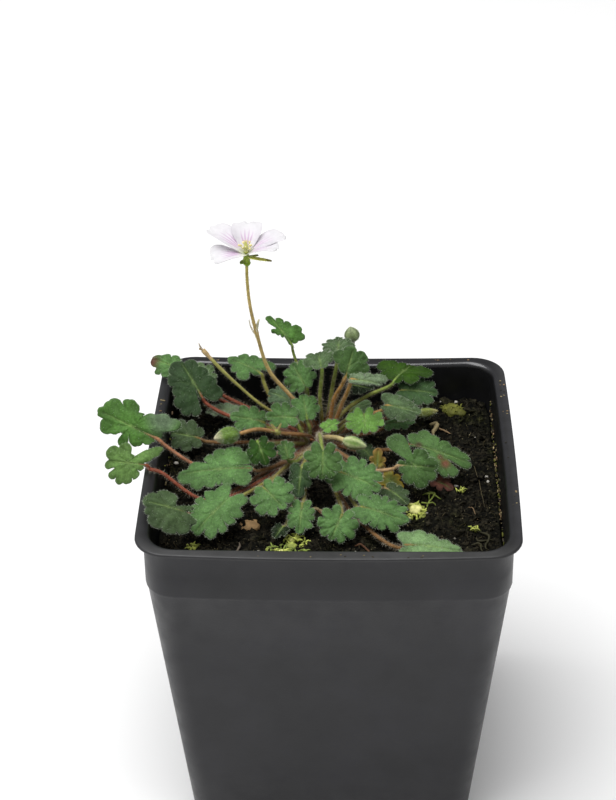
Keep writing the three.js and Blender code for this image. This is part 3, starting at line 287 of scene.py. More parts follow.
BUDS = {
    "bud_left": dict(at=(-25.9, 4.1, 91), along=(-1, -0.25, -0.1), long=6.6, thick=4.2,
                     stalk=((-5, 14, 84.4), (-8, 9.6, 88), (-12, 8.2, 89.2), (-18.4, 5.6, 92),
                            (-22.6, 4.9, 91.2)),
                     skin=colour(104, 132, 62), tip=colour(226, 218, 184), stem=colour(166, 130, 84),
                     node=18),
    "bud_right": dict(at=(5.8, 3.1, 89.6), along=(0.95, -0.3, -0.1), long=6.4, thick=3.2,
                      stalk=((-3.4, 13, 84.6), (-2.6, 7.6, 88.4), (1.4, 4.7, 90.2), (3.2, 4, 89.9)),
                      skin=colour(112, 150, 66), tip=colour(178, 186, 142), stem=colour(196, 184, 130),
                      seams=colour(196, 200, 152), thickness=0.72),
    "bud_top": dict(at=(4.9, 30.6, 105), along=(-0.2, 0.1, 1), long=4.2, thick=3.8,
                    stalk=((-2.6, 16.5, 85), (2.4, 22, 95), (5, 29.2, 98.6), (5.2, 30.5, 103.4)),
                    skin=colour(124, 140, 96), tip=colour(146, 156, 122), stem=colour(106, 112, 64)),
    "bud_far_right": dict(at=(24.2, 22, 86.9), along=(1, 0.2, 0.05), long=6, thick=2.4,
                          stalk=((-1.6, 16, 83.4), (10, 18.8, 85.4), (17, 21, 86.8), (21.6, 21.6, 86.9)),
                          skin=colour(116, 126, 62), tip=colour(166, 158, 108), stem=colour(114, 78, 54)),
}
OLD_LEAVES = {
    "yellow_leaf_standing": dict(at=(11.4, -2.2, 85.2), turn=84, rise=64, roll=4, long=5.6, wide=4.2, lobes=5,
                                 face=colour(118, 112, 44), edge=colour(140, 108, 60), stem="pale"),
    "yellow_leaf_lying": dict(at=(12.6, -2.6, 84), turn=-36, rise=-18, roll=24, long=6.6, wide=5.4, lobes=5,
                              face=colour(88, 96, 36), edge=colour(150, 126, 40), stem="pale"),
    "dead_leaf": dict(at=(25.5, 0, 80.9), turn=-37, rise=-6, roll=10, long=5.8, wide=5, lobes=5,
                      face=colour(102, 60, 48), edge=colour(74, 46, 36), stem=None),
}

SEED = 27


# Plain tools

# Large primes that scramble a cell's place and a seed into a key, and the sine that makes the key a value
CELL_PRIMES = np.array([73856093, 19349663, 83492791])
SEED_PRIME = 7919
KEY_PRIME = 100003
SINE_STEP = 12.9898
SINE_STRETCH = 43758.5453


def value_noise(points, cell, seed=0):
    """Smooth noise from -1 to 1 at each point, with features about one cell across."""
    scaled = np.atleast_2d(points) / cell
    low = np.floor(scaled).astype(np.int64)
    part = scaled - low
    part = part * part * (3 - 2 * part)
    total = np.zeros(len(scaled))
    for corner in range(8):
        step = np.array([corner & 1, corner >> 1 & 1, corner >> 2 & 1])
        key = (low + step) @ CELL_PRIMES + seed * SEED_PRIME
        value = np.sin((key % KEY_PRIME) * SINE_STEP) * SINE_STRETCH
        value = 2 * (value - np.floor(value)) - 1
        total += value * np.prod(np.where(step, part, 1 - part), axis=1)
    return total


def turned(turn, rise, roll=0.0):
    """A blade's own directions: along its midrib, to its left and up from its upper face."""
    turn, rise, roll = (math.radians(angle) for angle in (turn, rise, roll))
    along = np.array([math.cos(turn) * math.cos(rise), math.sin(turn) * math.cos(rise), math.sin(rise)])
    level = np.array([-math.sin(turn), math.cos(turn), 0.0])
    steep = np.cross(along, level)
    left = level * math.cos(roll) + steep * math.sin(roll)
    return along, left, np.cross(along, left)


def smooth_path(points, span):
    """Points along a centripetal curve through the given points, a number of them to each span."""
    points = [np.array(point, float) for point in points]
    padded = [2 * points[0] - points[1], *points, 2 * points[-1] - points[-2]]
    path = []
    for a, b, c, d in zip(padded, padded[1:], padded[2:], padded[3:]):
        before, own, after = (max(np.linalg.norm(q - p), 1e-6) ** 0.5 for p, q in ((a, b), (b, c), (c, d)))
        leave = ((b - a) / before - (c - a) / (before + own) + (c - b) / own) * own
        reach_in = ((c - b) / own - (d - b) / (own + after) + (d - c) / after) * own
        for share in np.linspace(0, 1, span, endpoint=False):
            square, cube = share ** 2, share ** 3
            path.append((2 * cube - 3 * square + 1) * b + (cube - 2 * square + share) * leave
                        + (3 * square - 2 * cube) * c + (cube - square) * reach_in)
    path.append(points[-1])
    return np.array(path)


class Skin:
    """The points, faces and colours of one piece, added a part at a time, and how downy its surface is."""

    def __init__(self, down=0.0):
        self.down = down
        self.points = []
        self.faces = []
        self.tones = []
        self.fur = []
        self.count = 0

    def add(self, points, faces, tones, fur=0.0):
        """faces has four corners a row, -1 last in a triangle. tones is one colour or one for each point,
        and fur one number or one for each face."""
        faces = np.asarray(faces, np.int64)
        self.points.append(np.asarray(points, float))
        self.faces.append(np.where(faces < 0, -1, faces + self.count))
        self.tones.append(np.broadcast_to(tones, (len(points), 3)))
        self.fur.append(np.broadcast_to(fur, len(faces)))
        self.count += len(points)

    def mesh(self, name, finish):
        """All of it as one mesh in metres, with its tones, its down and its fur as attributes."""
        points = np.vstack(self.points) * MM
        faces = np.vstack(self.faces)
        used = faces >= 0
        sizes = used.sum(axis=1)
        made = bpy.data.meshes.new(name)
        made.vertices.add(len(points))
        made.vertices.foreach_set("co", points.ravel())
        made.loops.add(int(sizes.sum()))
        made.loops.foreach_set("vertex_index", faces[used].astype(np.int32))
        made.polygons.add(len(faces))
        made.polygons.foreach_set("loop_start", np.concatenate([[0], np.cumsum(sizes)[:-1]]).astype(np.int32))
        made.polygons.foreach_set("use_smooth", np.ones(len(faces), bool))
        made.update(calc_edges=True)
        made.validate()
        tones = np.hstack([np.clip(np.vstack(self.tones), 0, 1), np.full((len(points), 1), self.down)])
        made.color_attributes.new("tone", "FLOAT_COLOR", "POINT").data.foreach_set("color", tones.ravel())
        made.attributes.new("fur", "FLOAT", "FACE").data.foreach_set("value", np.concatenate(self.fur))
        made.materials.append(finish)
        return made


def put_piece(name, mesh, replaces=()):
    """Shows a mesh as a piece of the object."""
    piece = bpy.data.objects.new(name, mesh)
    bpy.context.scene.collection.objects.link(piece)
    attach(piece, "root")
    if replaces:
        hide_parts(*replaces)


def ring_faces(rings, count, first=0):
    """Faces between closed rings of points that follow one another."""
    ring, i = np.meshgrid(np.arange(rings - 1), np.arange(count), indexing="ij")
    low = first + (ring * count).ravel()
    i = i.ravel()
    j = (i + 1) % count
    return np.stack([low + i, low + j, low + count + j, low + count + i], 1)


def fan(tip, first, count, upward):
    """Triangles from a ring of points to one point over it, or under it."""
    i = np.arange(count)
    j = (i + 1) % count
    a, b = (i, j) if upward else (j, i)
    return np.stack([np.full(count, tip), first + a, first + b, np.full(count, -1)], 1)


def capped(skin, rings, low_tip, high_tip, tones, fur=0.0):
    """A closed skin through rings of points, from a tip under the first to a tip over the last."""
    count = len(rings[0])
    last = (len(rings) - 1) * count
    points = np.vstack([*rings, [low_tip, high_tip]])
    faces = np.vstack([ring_faces(len(rings), count), fan(last + count, 0, count, False),
                       fan(last + count + 1, last, count, True)])
    tones = np.asarray(tones, float)
    if tones.ndim == 2:
        tones = np.repeat(tones[:, None], count, axis=1)
    if tones.ndim == 3:
        tones = np.vstack([*tones, tones[0, :1], tones[-1, :1]])
    skin.add(points, faces, tones, fur)


# How upright a direction may be before its sideways is taken from the x axis
NEARLY_UPRIGHT = 0.9
# How far the end of a tube and of a turned shape stands out, as a share of its radius
TUBE_DOME = 0.5
TURNED_DOME = 0.3


def square_to(way):
    """A direction square to the given one, of any length."""
    return np.cross(way, (0.0, 0.0, 1.0) if abs(way[2]) < NEARLY_UPRIGHT else (1.0, 0.0, 0.0))


def round_ring(angles, side, other):
    """Points on a circle of radius one, at angles from one direction towards another."""
    return np.cos(angles)[:, None] * side + np.sin(angles)[:, None] * other


def tube(skin, path, radii, tones, sides=7, fur=0.0):
    """A round tube along a path, with domed ends."""
    path = np.asarray(path, float)
    radii = np.broadcast_to(np.asarray(radii, float), len(path))
    ways = np.gradient(path, axis=0)
    ways /= np.linalg.norm(ways, axis=1)[:, None]
    side = square_to(ways[0])
    angles = np.arange(sides) * 2 * math.pi / sides
    rings = []
    for centre, way, radius in zip(path, ways, radii):
        side = side - way * np.dot(side, way)
        side /= np.linalg.norm(side)
        rings.append(centre + radius * round_ring(angles, side, np.cross(way, side)))
    capped(skin, rings, path[0] - ways[0] * radii[0] * TUBE_DOME, path[-1] + ways[-1] * radii[-1] * TUBE_DOME,
           tones, fur)


def turned_shape(skin, at, along, profile, tones, sides=12, fur=0.0, ridges=0.0):
    """A shape turned about an axis, from pairs of place along it and radius, with five ridges if asked."""
    along = np.array(along, float) / np.linalg.norm(along)
    side = square_to(along)
    side /= np.linalg.norm(side)
    angles = np.arange(sides) * 2 * math.pi / sides
    ring = round_ring(angles, side, np.cross(along, side))
    swell = (1 + ridges * np.abs(np.cos(2.5 * angles)))[:, None]
    at = np.asarray(at, float)
    rings = [at + place * along + radius * swell * ring for place, radius in profile]
    (first, thin), (last, end) = profile[0], profile[-1]
    capped(skin, rings, at + (first - TURNED_DOME * thin) * along, at + (last + TURNED_DOME * end) * along,
           tones, fur)


def plate(skin, top, rows, columns, thick, ups, tones, fur=0.0):
    """A thin closed plate from a grid of points, along its rows, how thick it is at all or at each of
    them, and the way that its upper face looks."""
    half = np.broadcast_to(thick, len(top))[:, None] * ups / 2
    size = rows * columns
    i, j = np.meshgrid(np.arange(rows - 1), np.arange(columns - 1), indexing="ij")
    a = (i * columns + j).ravel()
    upper = np.stack([a, a + columns, a + columns + 1, a + 1], 1)
    border = [*range(columns), *[i * columns + columns - 1 for i in range(1, rows)],
              *[(rows - 1) * columns + j for j in range(columns - 2, -1, -1)],
              *[i * columns for i in range(rows - 2, 0, -1)]]
    border = np.array(border)
    after = np.roll(border, -1)
    rim = np.stack([border, after, size + after, size + border], 1)
    skin.add(np.vstack([top + half, top - half]), np.vstack([upper, size + upper[:, ::-1], rim]),
             np.vstack([tones, tones]) if np.ndim(tones) == 2 else tones, fur)


# Node trees

def link_node(tree, kind, values=None, **settings):
    """A node with its settings, and its inputs joined to sockets or set to values."""
    made = tree.nodes.new(kind)
    for key, value in settings.items():
        setattr(made, key, value)
    for key, value in (values or {}).items():
        if isinstance(value, bpy.types.NodeSocket):
            tree.links.new(value, made.inputs[key])
        else:
            made.inputs[key].default_value = value
    return made


def times(tree, one, other, **settings):
    """One number times another."""
    return link_node(tree, "ShaderNodeMath", {0: one, 1: other}, operation="MULTIPLY", **settings).outputs[0]


STREWING_INPUTS = (("Surface", "Geometry"), ("Shape", "Object"), ("Number to a square millimetre", "Float"),
                   ("Smallest", "Vector"), ("Largest", "Vector"), ("Lean", "Float"), ("Seed", "Int"),
                   ("Finish", "Material"))


def strewing_tree():
    """Small shapes strewn over a surface, stood on it and turned at random, as one plain mesh."""
    tree = bpy.data.node_groups.new("strewn_over_a_surface", "GeometryNodeTree")
    for label, kind in STREWING_INPUTS:
        tree.interface.new_socket(label, in_out="INPUT", socket_type="NodeSocket" + kind)
    tree.interface.new_socket("Strewn", in_out="OUTPUT", socket_type="NodeSocketGeometry")
    given = tree.nodes.new("NodeGroupInput").outputs
    fur = link_node(tree, "GeometryNodeInputNamedAttribute", {"Name": "fur"}, data_type="FLOAT")
    to_square_metre = times(tree, given["Number to a square millimetre"], 1 / MM ** 2)
    density = times(tree, fur.outputs["Attribute"], to_square_metre)
    places = link_node(tree, "GeometryNodeDistributePointsOnFaces",
                       {"Mesh": given["Surface"], "Density": density, "Seed": given["Seed"]})
    back = times(tree, given["Lean"], -1.0)
    tilt_low = link_node(tree, "ShaderNodeCombineXYZ", {0: back, 1: back, 2: -math.pi})
    tilt_high = link_node(tree, "ShaderNodeCombineXYZ", {0: given["Lean"], 1: given["Lean"], 2: math.pi})
    tilt = link_node(tree, "FunctionNodeRandomValue",
                     {"Min": tilt_low.outputs[0], "Max": tilt_high.outputs[0], "Seed": given["Seed"]},
                     data_type="FLOAT_VECTOR")
    stood = link_node(tree, "FunctionNodeRotateRotation",
                      {"Rotation": places.outputs["Rotation"], "Rotate By": tilt.outputs[0]},
                      rotation_space="LOCAL")
    share = link_node(tree, "FunctionNodeRandomValue", {"Seed": given["Seed"]}, data_type="FLOAT")
    size = link_node(tree, "ShaderNodeMix",
                     {0: share.outputs[1], 4: given["Smallest"], 5: given["Largest"]}, data_type="VECTOR")
    shape = link_node(tree, "GeometryNodeObjectInfo", {"Object": given["Shape"]})
    stand = link_node(tree, "GeometryNodeInstanceOnPoints",
                      {"Points": places.outputs["Points"], "Instance": shape.outputs["Geometry"],
                       "Rotation": stood.outputs[0], "Scale": size.outputs[1]})
    real = link_node(tree, "GeometryNodeRealizeInstances", {"Geometry": stand.outputs[0]})
    dressed = link_node(tree, "GeometryNodeSetMaterial",
                        {"Geometry": real.outputs[0], "Material": given["Finish"]})
    out = tree.nodes.new("NodeGroupOutput")
    tree.links.new(dressed.outputs[0], out.inputs["Strewn"])
    return tree


def strewn(name, tree, surface, shape, number, smallest, largest, lean, seed, finish):
    """The mesh that the tree makes on a surface."""
    carrier = bpy.data.objects.new(name + "_carrier", surface)
    bpy.context.scene.collection.objects.link(carrier)
    modifier = carrier.modifiers.new("strewing", "NODES")
    modifier.node_group = tree
    sockets = {item.name: item.identifier for item in tree.interface.items_tree}
    values = {"Shape": shape, "Number to a square millimetre": number, "Smallest": smallest,
              "Largest": largest, "Lean": lean, "Seed": seed, "Finish": finish}
    for label, value in values.items():
        modifier[sockets[label]] = value
    seen = carrier.evaluated_get(bpy.context.evaluated_depsgraph_get())
    mesh = bpy.data.meshes.new_from_object(seen)
    mesh.name = name
    carrier.modifiers.remove(modifier)
    bpy.data.objects.remove(carrier)
    return mesh


def pattern_shape(name, points, faces):
    """A small flat-faced shape for the tree to strew, kept out of the picture."""
    mesh = bpy.data.meshes.new(name)
    mesh.from_pydata((np.asarray(points, float) * MM).tolist(), [], faces)
    mesh.polygons.foreach_set("use_smooth", np.zeros(len(mesh.polygons), bool))
    return bpy.data.objects.new(name, mesh)


HAIR_RADIUS = 0.027
HAIR_BEND = 0.08


def hair_shape():
    """A hair one millimetre long: a three-sided spike that leans a little."""
    foot = [(HAIR_RADIUS * math.cos(a), HAIR_RADIUS * math.sin(a), 0.0)
            for a in (0, 2 * math.pi / 3, 4 * math.pi / 3)]
    return pattern_shape("hair", [*foot, (HAIR_BEND, 0.0, 1.0)], [(0, 2, 1), (0, 1, 3), (1, 2, 3), (2, 0, 3)])


# The twenty-faced ball that a crumb starts from: its corners, and its edges' length for a radius of one,
# between two bounds
CRUMB_CORNERS = 12
CRUMB_EDGE = (0.1, 1.1)


def crumb_shape(name, seed, rough):
    """A crumb about two millimetres across with uneven sides."""
    gold = (1 + 5 ** 0.5) / 2
    corners = [(s, t * gold, 0) for s in (-1, 1) for t in (-1, 1)]
    corners = np.array([*corners, *[(0, x, y) for x, y, _ in corners], *[(y, 0, x) for x, y, _ in corners]])
    corners /= np.linalg.norm(corners[0])
    gaps = np.linalg.norm(corners[:, None] - corners[None], axis=2)
    near = (gaps < CRUMB_EDGE[1]) & (gaps > CRUMB_EDGE[0])
    faces = []
    for a, b, c in itertools.combinations(range(CRUMB_CORNERS), 3):
        if near[a, b] and near[b, c] and near[a, c]:
            out = np.dot(np.cross(corners[b] - corners[a], corners[c] - corners[a]), corners[a]) > 0
            faces.append((a, b, c) if out else (a, c, b))
    draws = np.random.default_rng(seed)
    return pattern_shape(name, corners * (1 + rough * draws.uniform(-1, 1, (CRUMB_CORNERS, 1))), faces)


def fibre_shape():
    """A thin bent fibre one millimetre long, thicker in its middle."""
    fibre = Skin()
    tube(fibre, ((0, 0, -0.5), (0.12, 0.03, -0.15), (0.1, -0.06, 0.2), (-0.04, 0, 0.5)),
         (0.05, 0.1, 0.09, 0.04), TAN, 4)
    return bpy.data.objects.new("fibre", fibre.mesh("fibre", None))


# Finishes

def plain_finish(name, **sockets):
    """A new material, its node tree and its Principled shader, with the given inputs set."""
    material = bpy.data.materials.new(name)
    material.use_nodes = True
    tree = material.node_tree
    shader = tree.nodes["Principled BSDF"]
    for key, value in sockets.items():
        shader.inputs[key.replace("_", " ")].default_value = value
    return material, tree, shader


def noise(tree, size, detail=2.0, rough=0.5):
    """Noise on Object coordinates with features about that many millimetres across."""
    place = link_node(tree, "ShaderNodeTexCoord")
    return link_node(tree, "ShaderNodeTexNoise",
                     {"Vector": place.outputs["Object"], "Scale": 1 / (size * MM), "Detail": detail,
                      "Roughness": rough}).outputs["Fac"]


def ramp(tree, source, low, high, at_low=0.0, at_high=1.0):
    """The source stretched between two values."""
    return link_node(tree, "ShaderNodeMapRange",
                     {"Value": source, "From Min": low, "From Max": high, "To Min": at_low,
                      "To Max": at_high}).outputs[0]


# Noise lies mostly between these two values, so a shade is stretched from the one to the other
NOISE_LOW = 0.3
NOISE_HIGH = 0.7


def mottled(tree, size, low, high, detail=3.0, rough=0.5):
    """A shade that wanders between two values in patches about that many millimetres across."""
    return ramp(tree, noise(tree, size, detail, rough), NOISE_LOW, NOISE_HIGH, low, high)


def attribute(tree, name, output):
    """What the piece says of itself at each point."""
    return link_node(tree, "ShaderNodeAttribute", attribute_name=name).outputs[output]


def blended(tree, share, under, over, way="MIX"):
    """One colour laid over another."""
    made = link_node(tree, "ShaderNodeMix", data_type="RGBA", blend_type=way)
    for index, value in ((0, share), (6, under), (7, over)):
        if isinstance(value, bpy.types.NodeSocket):
            tree.links.new(value, made.inputs[index])
        elif index == 0:
            made.inputs[0].default_value = value
        else:
            made.inputs[index].default_value = (*value, 1.0)
    return made.outputs[2]


def own_tone(tree, *shades):
    """The piece's own tones, times each of the given shades."""
    tone = attribute(tree, "tone", "Color")
    for shade in shades:
        grey = link_node(tree, "ShaderNodeCombineColor", {0: shade, 1: shade, 2: shade}).outputs[0]
        tone = blended(tree, 1.0, tone, grey, "MULTIPLY")
    return tone


def bumped(tree, shader, source, depth, strength=1.0):
    """Relief from a source, that many millimetres deep."""
    relief = link_node(tree, "ShaderNodeBump",
                       {"Strength": strength, "Distance": depth * MM, "Height": source})
    tree.links.new(relief.outputs[0], shader.inputs["Normal"])


# How much pale down goes with a sheen weight of one, and the colours of the sheen and of the down
DOWN_PER_SHEEN = 16.0
SHEEN_TINT = colour(206, 220, 200)
DOWN_TONE = colour(168, 182, 148)


def living_finish(name, rough, flecks):
    """Green tissue in the piece's own tones, mottled and grained, with a pale bloom where it is downy."""
    material, tree, shader = plain_finish(name, Roughness=rough, Sheen_Roughness=0.4, Specular_IOR_Level=0.1)
    shader.inputs["Sheen Tint"].default_value = (*SHEEN_TINT, 1.0)
    downy = attribute(tree, "tone", "Alpha")
    tree.links.new(downy, shader.inputs["Sheen Weight"])
    patches = mottled(tree, 2.8, 0.78, 1.18)
    grain = mottled(tree, 0.5, 0.7, 1.28, rough=0.65)
    spots = ramp(tree, noise(tree, 0.3, 2.0, 0.7), 0.6, 0.78, 0.0, flecks)
    down = times(tree, spots, times(tree, downy, DOWN_PER_SHEEN), use_clamp=True)
    shade = blended(tree, down, own_tone(tree, patches, grain), DOWN_TONE)
    tree.links.new(shade, shader.inputs["Base Color"])
    bumped(tree, shader, noise(tree, 0.4, 3.0, 0.6), 0.1, 0.6)
    return material


def hair_finish(name, pale):
    """Fine pale hairs, a little glassy."""
    material, tree, shader = plain_finish(name, Roughness=0.5, Specular_IOR_Level=0.3)
    shade = blended(tree, ramp(tree, noise(tree, 3.0), 0.35, 0.65), pale * 0.75, pale)
    tree.links.new(shade, shader.inputs["Base Color"])
    return material


def petal_finish():
    """A thin petal in its own tones, lit through."""
    material, tree, shader = plain_finish(
        "petal", Roughness=0.6, Subsurface_Weight=0.35, Subsurface_Scale=1.0 * MM,
        Subsurface_Radius=(1.0, 0.9, 0.95), Sheen_Weight=0.1, Specular_IOR_Level=0.2)
    shade = mottled(tree, 1.4, 0.95, 1.03, detail=2.0)
    tree.links.new(own_tone(tree, shade), shader.inputs["Base Color"])
    bumped(tree, shader, noise(tree, 0.5, 2.0), 0.05, 0.4)
    return material


# What dust and scuffs multiply the plastic's own tone by
DUST = (1.9, 1.9, 1.95)
SCUFF = (1.8, 1.75, 1.65)
# How rough the plastic is, from patch to patch, and what its rubbed rear edge keeps of that
PLASTIC_ROUGH = (0.34, 0.5)
RUBBED_ROUGH = 0.6
# How much the plastic shines where its tone is dark, as inside, and where it is paler, what the linear red
# of those tones is, and how much more the rubbed edge shines
PLASTIC_SHINE = (0.16, 0.36)
PLASTIC_RED = (0.004, 0.009)
RUBBED_SHINE = 0.36


def pot_finish():
    """Black moulded plastic, dusty and scuffed, rubbed smoother along its rear inner edge."""
    material, tree, shader = plain_finish("pot_plastic")
    dust = ramp(tree, noise(tree, 16, 4.0, 0.6), 0.4, 0.72, 0.0, 0.7)
    scuff = ramp(tree, noise(tree, 0.9, 3.0, 0.75), 0.6, 0.78, 0.0, 0.5)
    cloud = mottled(tree, 5, 0, 1)
    own = own_tone(tree, ramp(tree, cloud, 0, 1, 0.88, 1.12))
    dusted = blended(tree, dust, own, blended(tree, 1.0, own, DUST, "MULTIPLY"))
    worn = blended(tree, scuff, dusted, blended(tree, 1.0, dusted, SCUFF, "MULTIPLY"))
    tree.links.new(worn, shader.inputs["Base Color"])
    polish = attribute(tree, "polish", "Fac")
    rough = times(tree, ramp(tree, cloud, 0, 1, *PLASTIC_ROUGH), ramp(tree, polish, 0, 1, 1.0, RUBBED_ROUGH))
    tree.links.new(rough, shader.inputs["Roughness"])
    red = link_node(tree, "ShaderNodeSeparateColor", {0: attribute(tree, "tone", "Color")}).outputs[0]
    plain = ramp(tree, red, *PLASTIC_RED, *PLASTIC_SHINE)
    shiny = link_node(tree, "ShaderNodeMath", {0: plain, 1: ramp(tree, polish, 0, 1, 0, RUBBED_SHINE)},
                      operation="ADD")
    tree.links.new(shiny.outputs[0], shader.inputs["Specular IOR Level"])
    bumped(tree, shader, noise(tree, 0.5, 3.0, 0.6), 0.05, 0.35)
    return material


# What green algae multiply the peat's lighter shade by
GREEN_CAST = np.array([1.1, 1.45, 0.5])


def peat_finish(name, dark, light, patch, rough):
    """Damp peat, or bits in it: a dark and a light shade in patches."""
    material, tree, shader = plain_finish(name, Roughness=rough, Specular_IOR_Level=0.08)
    share = ramp(tree, noise(tree, patch, 5.0, 0.75), 0.42, 0.68)
    mossy = ramp(tree, noise(tree, 9, 3.0, 0.6), 0.52, 0.7, 0.0, 0.6)
    lighter = blended(tree, mossy, light, light * GREEN_CAST)
    tree.links.new(blended(tree, share, dark, lighter), shader.inputs["Base Color"])
    bumped(tree, shader, noise(tree, 0.4, 4.0, 0.7), 0.25, 0.8)
    return material


def toned_finish(name, rough, size, depth):
    """A matt surface in the piece's own tones with fine relief."""
    material, tree, shader = plain_finish(name, Roughness=rough, Specular_IOR_Level=0.25)
    tree.links.new(own_tone(tree, mottled(tree, size * 3, 0.7, 1.25)), shader.inputs["Base Color"])
    bumped(tree, shader, noise(tree, size, 3.0, 0.65), depth, 0.7)
    return material


# Leaves

def oval(angle, ahead, half_wide):
    """How far a full oval reaches at an angle."""
    total = (np.abs(np.cos(angle)) / ahead) ** FULLNESS + (np.abs(np.sin(angle)) / half_wide) ** FULLNESS
    return total ** (-1 / FULLNESS)


# Even lobes stand this share of the full circle apart, which leaves room at the joint
LOBE_SPREAD = 0.985


def lobes_of(leaf):
    """The round lobes of a blade: the angle from the tip, how far each reaches and its size."""
    long = leaf["long"]
    if "arms" in leaf:
        return [(math.radians(turn), far * long, size * long) for turn, far, size in leaf["arms"]]
    count = leaf["lobes"]
    touch = math.sin(math.pi / count)
    lobes = []
    for i in range(count):
        turn = 2 * math.pi * (i - (count - 1) / 2) / count * LOBE_SPREAD
        ahead = (1 - PALM) * long if math.cos(turn) > 0 else (PALM + leaf.get("ear", EAR)) * long
        far = float(oval(turn, ahead, leaf["wide"] / 2))
        lobes.append((turn, far, SINUS * far * touch / (1 + touch)))
    return lobes


# How much the scallops of one blade differ in width and in depth, and how round they are
SCALLOP_WIDTHS = (0.75, 1.25)
SCALLOP_DEPTHS = (0.5, 1.4)
SCALLOP_ROUND = 0.8


def scalloped(edge, angle, teeth, deep, draws):
    """The edge as a row of round scallops with sharp notches between them."""
    places = np.cumsum(draws.uniform(*SCALLOP_WIDTHS, teeth + 2))
    phase = np.interp((angle + math.pi) / (2 * math.pi) * teeth, places - places[0], np.arange(teeth + 2))
    depths = np.interp(phase, np.arange(teeth + 2), deep * draws.uniform(*SCALLOP_DEPTHS, teeth + 2))
    return edge * (1 - depths * (1 - np.abs(np.sin(math.pi * phase)) ** SCALLOP_ROUND))


# Where two lobes meet, the edge is cleft this far in, as a share of the blade's length, and this many
# millimetres wide
CLEFT_DEEP = 0.06
CLEFT_WIDE = 0.3
# Even lobes are parted by deep and shallow notches in turn, as shares of the edge, this many radians wide
DEEP_NOTCH = (0.12, 0.26)
SHALLOW_NOTCH = (0.03, 0.08)
NOTCH_WIDE = 0.07
# A scallop's width in millimetres, the fewest to a blade, and how deep they are with and without arms
SCALLOP = 2.7
FEWEST_SCALLOPS = 9
SCALLOP_ON_ARMS = 0.035
SCALLOP_DEEP = 0.07
# How full the middle of a blade is, with and without arms, unless its row says so, and its joint's notch
MIDDLE_WITH_ARMS = 0.45
MIDDLE = 0.7
JOINT_NOTCH_WIDE = 0.16
JOINT_NOTCH_PAST = 0.02


def edge_of(leaf, lobes, angle, draws):
    """How far the blade's edge lies from the middle of its palm, with its notches and scallops."""
    long = leaf["long"]
    ahead = np.where(np.cos(angle) > 0, (1 - PALM) * long, PALM * long)
    full = leaf.get("palm", MIDDLE_WITH_ARMS if "arms" in leaf else MIDDLE)
    reaches = [full * oval(angle, ahead, leaf["wide"] / 2)]
    for turn, far, size in lobes:
        off = angle - turn
        middle = far - size
        inside = size ** 2 - (middle * np.sin(off)) ** 2
        meets = (np.cos(off) > 0) & (inside > 0)
        round_edge = middle * np.cos(off) + np.sqrt(np.maximum(inside, 0))
        reaches.append(np.where(meets, round_edge, 0))
    rival, edge = np.sort(reaches, axis=0)[-2:]
    edge = edge - CLEFT_DEEP * long * np.exp(-((edge - rival) / CLEFT_WIDE) ** 2)
    if "arms" not in leaf:
        for i, (one, other) in enumerate(zip(lobes, lobes[1:])):
            deep = draws.uniform(*(DEEP_NOTCH if i % 2 else SHALLOW_NOTCH))
            edge = edge * (1 - deep * np.exp(-((angle - (one[0] + other[0]) / 2) / NOTCH_WIDE) ** 2))
    teeth = max(round(math.pi * (long + leaf["wide"]) / 2 / SCALLOP), FEWEST_SCALLOPS)
    edge = scalloped(edge, angle, teeth, SCALLOP_ON_ARMS if "arms" in leaf else SCALLOP_DEEP, draws)
    notch = np.exp(-(((math.pi - np.abs(angle)) / JOINT_NOTCH_WIDE) ** 2))
    return edge * (1 - notch) + np.minimum(edge, (PALM + JOINT_NOTCH_PAST) * long) * notch


# How far the midrib reaches, as a share of the length. A lobe has a vein if it turns this far, in radians,
# from every vein before it, and no further than this from the tip
MIDRIB_REACH = 0.9
VEINS_APART = 0.36
LAST_VEIN = 2.7
# How far along a vein forks, how far out its forks reach, how far they turn aside in radians, and how
# strong the vein and its forks are beside the midrib
FORK_AT = 0.55
FORK_REACH = 0.86
FORK_TURN = 0.2
VEIN_WEIGHT = 0.7
FORK_WEIGHT = 0.5


def veins_of(leaf, lobes, reach):
    """The midrib, and a vein to each main lobe that forks near its edge, as straight stretches."""
    long = leaf["long"]
    middle = np.array([PALM * long, 0.0])
    stretches = [((0.0, 0.0), (MIDRIB_REACH * long, 0.0), 1.0)]
    chosen = [0.0]
    for turn, _, _ in sorted(lobes, key=lambda lobe: -lobe[1]):
        if min(abs(turn - other) for other in chosen) < VEINS_APART or abs(turn) > LAST_VEIN:
            continue
        chosen.append(turn)
        start = np.array([max(0.02, 0.42 * math.cos(turn) + 0.04) * long, 0.0])
        way = np.array([math.cos(turn), math.sin(turn)])
        out = FORK_REACH * float(np.interp(turn, reach[0], reach[1]))
        fork = start + FORK_AT * (middle + out * way - start)
        stretches.append((start, fork, VEIN_WEIGHT))
        for side in (-FORK_TURN, FORK_TURN):
            end = middle + out * np.array([math.cos(turn + side), math.sin(turn + side)])
            stretches.append((fork, end, FORK_WEIGHT))
    return stretches


def nearness(flat, stretches, width):
    """How close each point of a blade lies to a vein, 1 on it, less for a small vein."""
    close = np.zeros(len(flat))
    for start, end, weight in stretches:
        start, end = np.array(start), np.array(end)
        run = end - start
        share = np.clip((flat - start) @ run / max(run @ run, 1e-9), 0, 1)
        away = np.linalg.norm(flat - start - share[:, None] * run, axis=1)
        close = np.maximum(close, weight * np.exp(-(away / (width * (1.25 - 0.5 * share))) ** 2))
    return close


def blade_height(leaf, s, t):
    """How high the middle of the blade lies over the plane through its joint and tip, as in the part."""
    share = np.maximum(s / leaf["long"], -0.05)
    arch = 4 * leaf.get("arch", 0.05) * share * (1 - share) * leaf["long"]
    half = leaf["wide"] / 2
    return arch + leaf.get("cup", -0.1) * half * np.minimum((t / half) ** 2, 2)


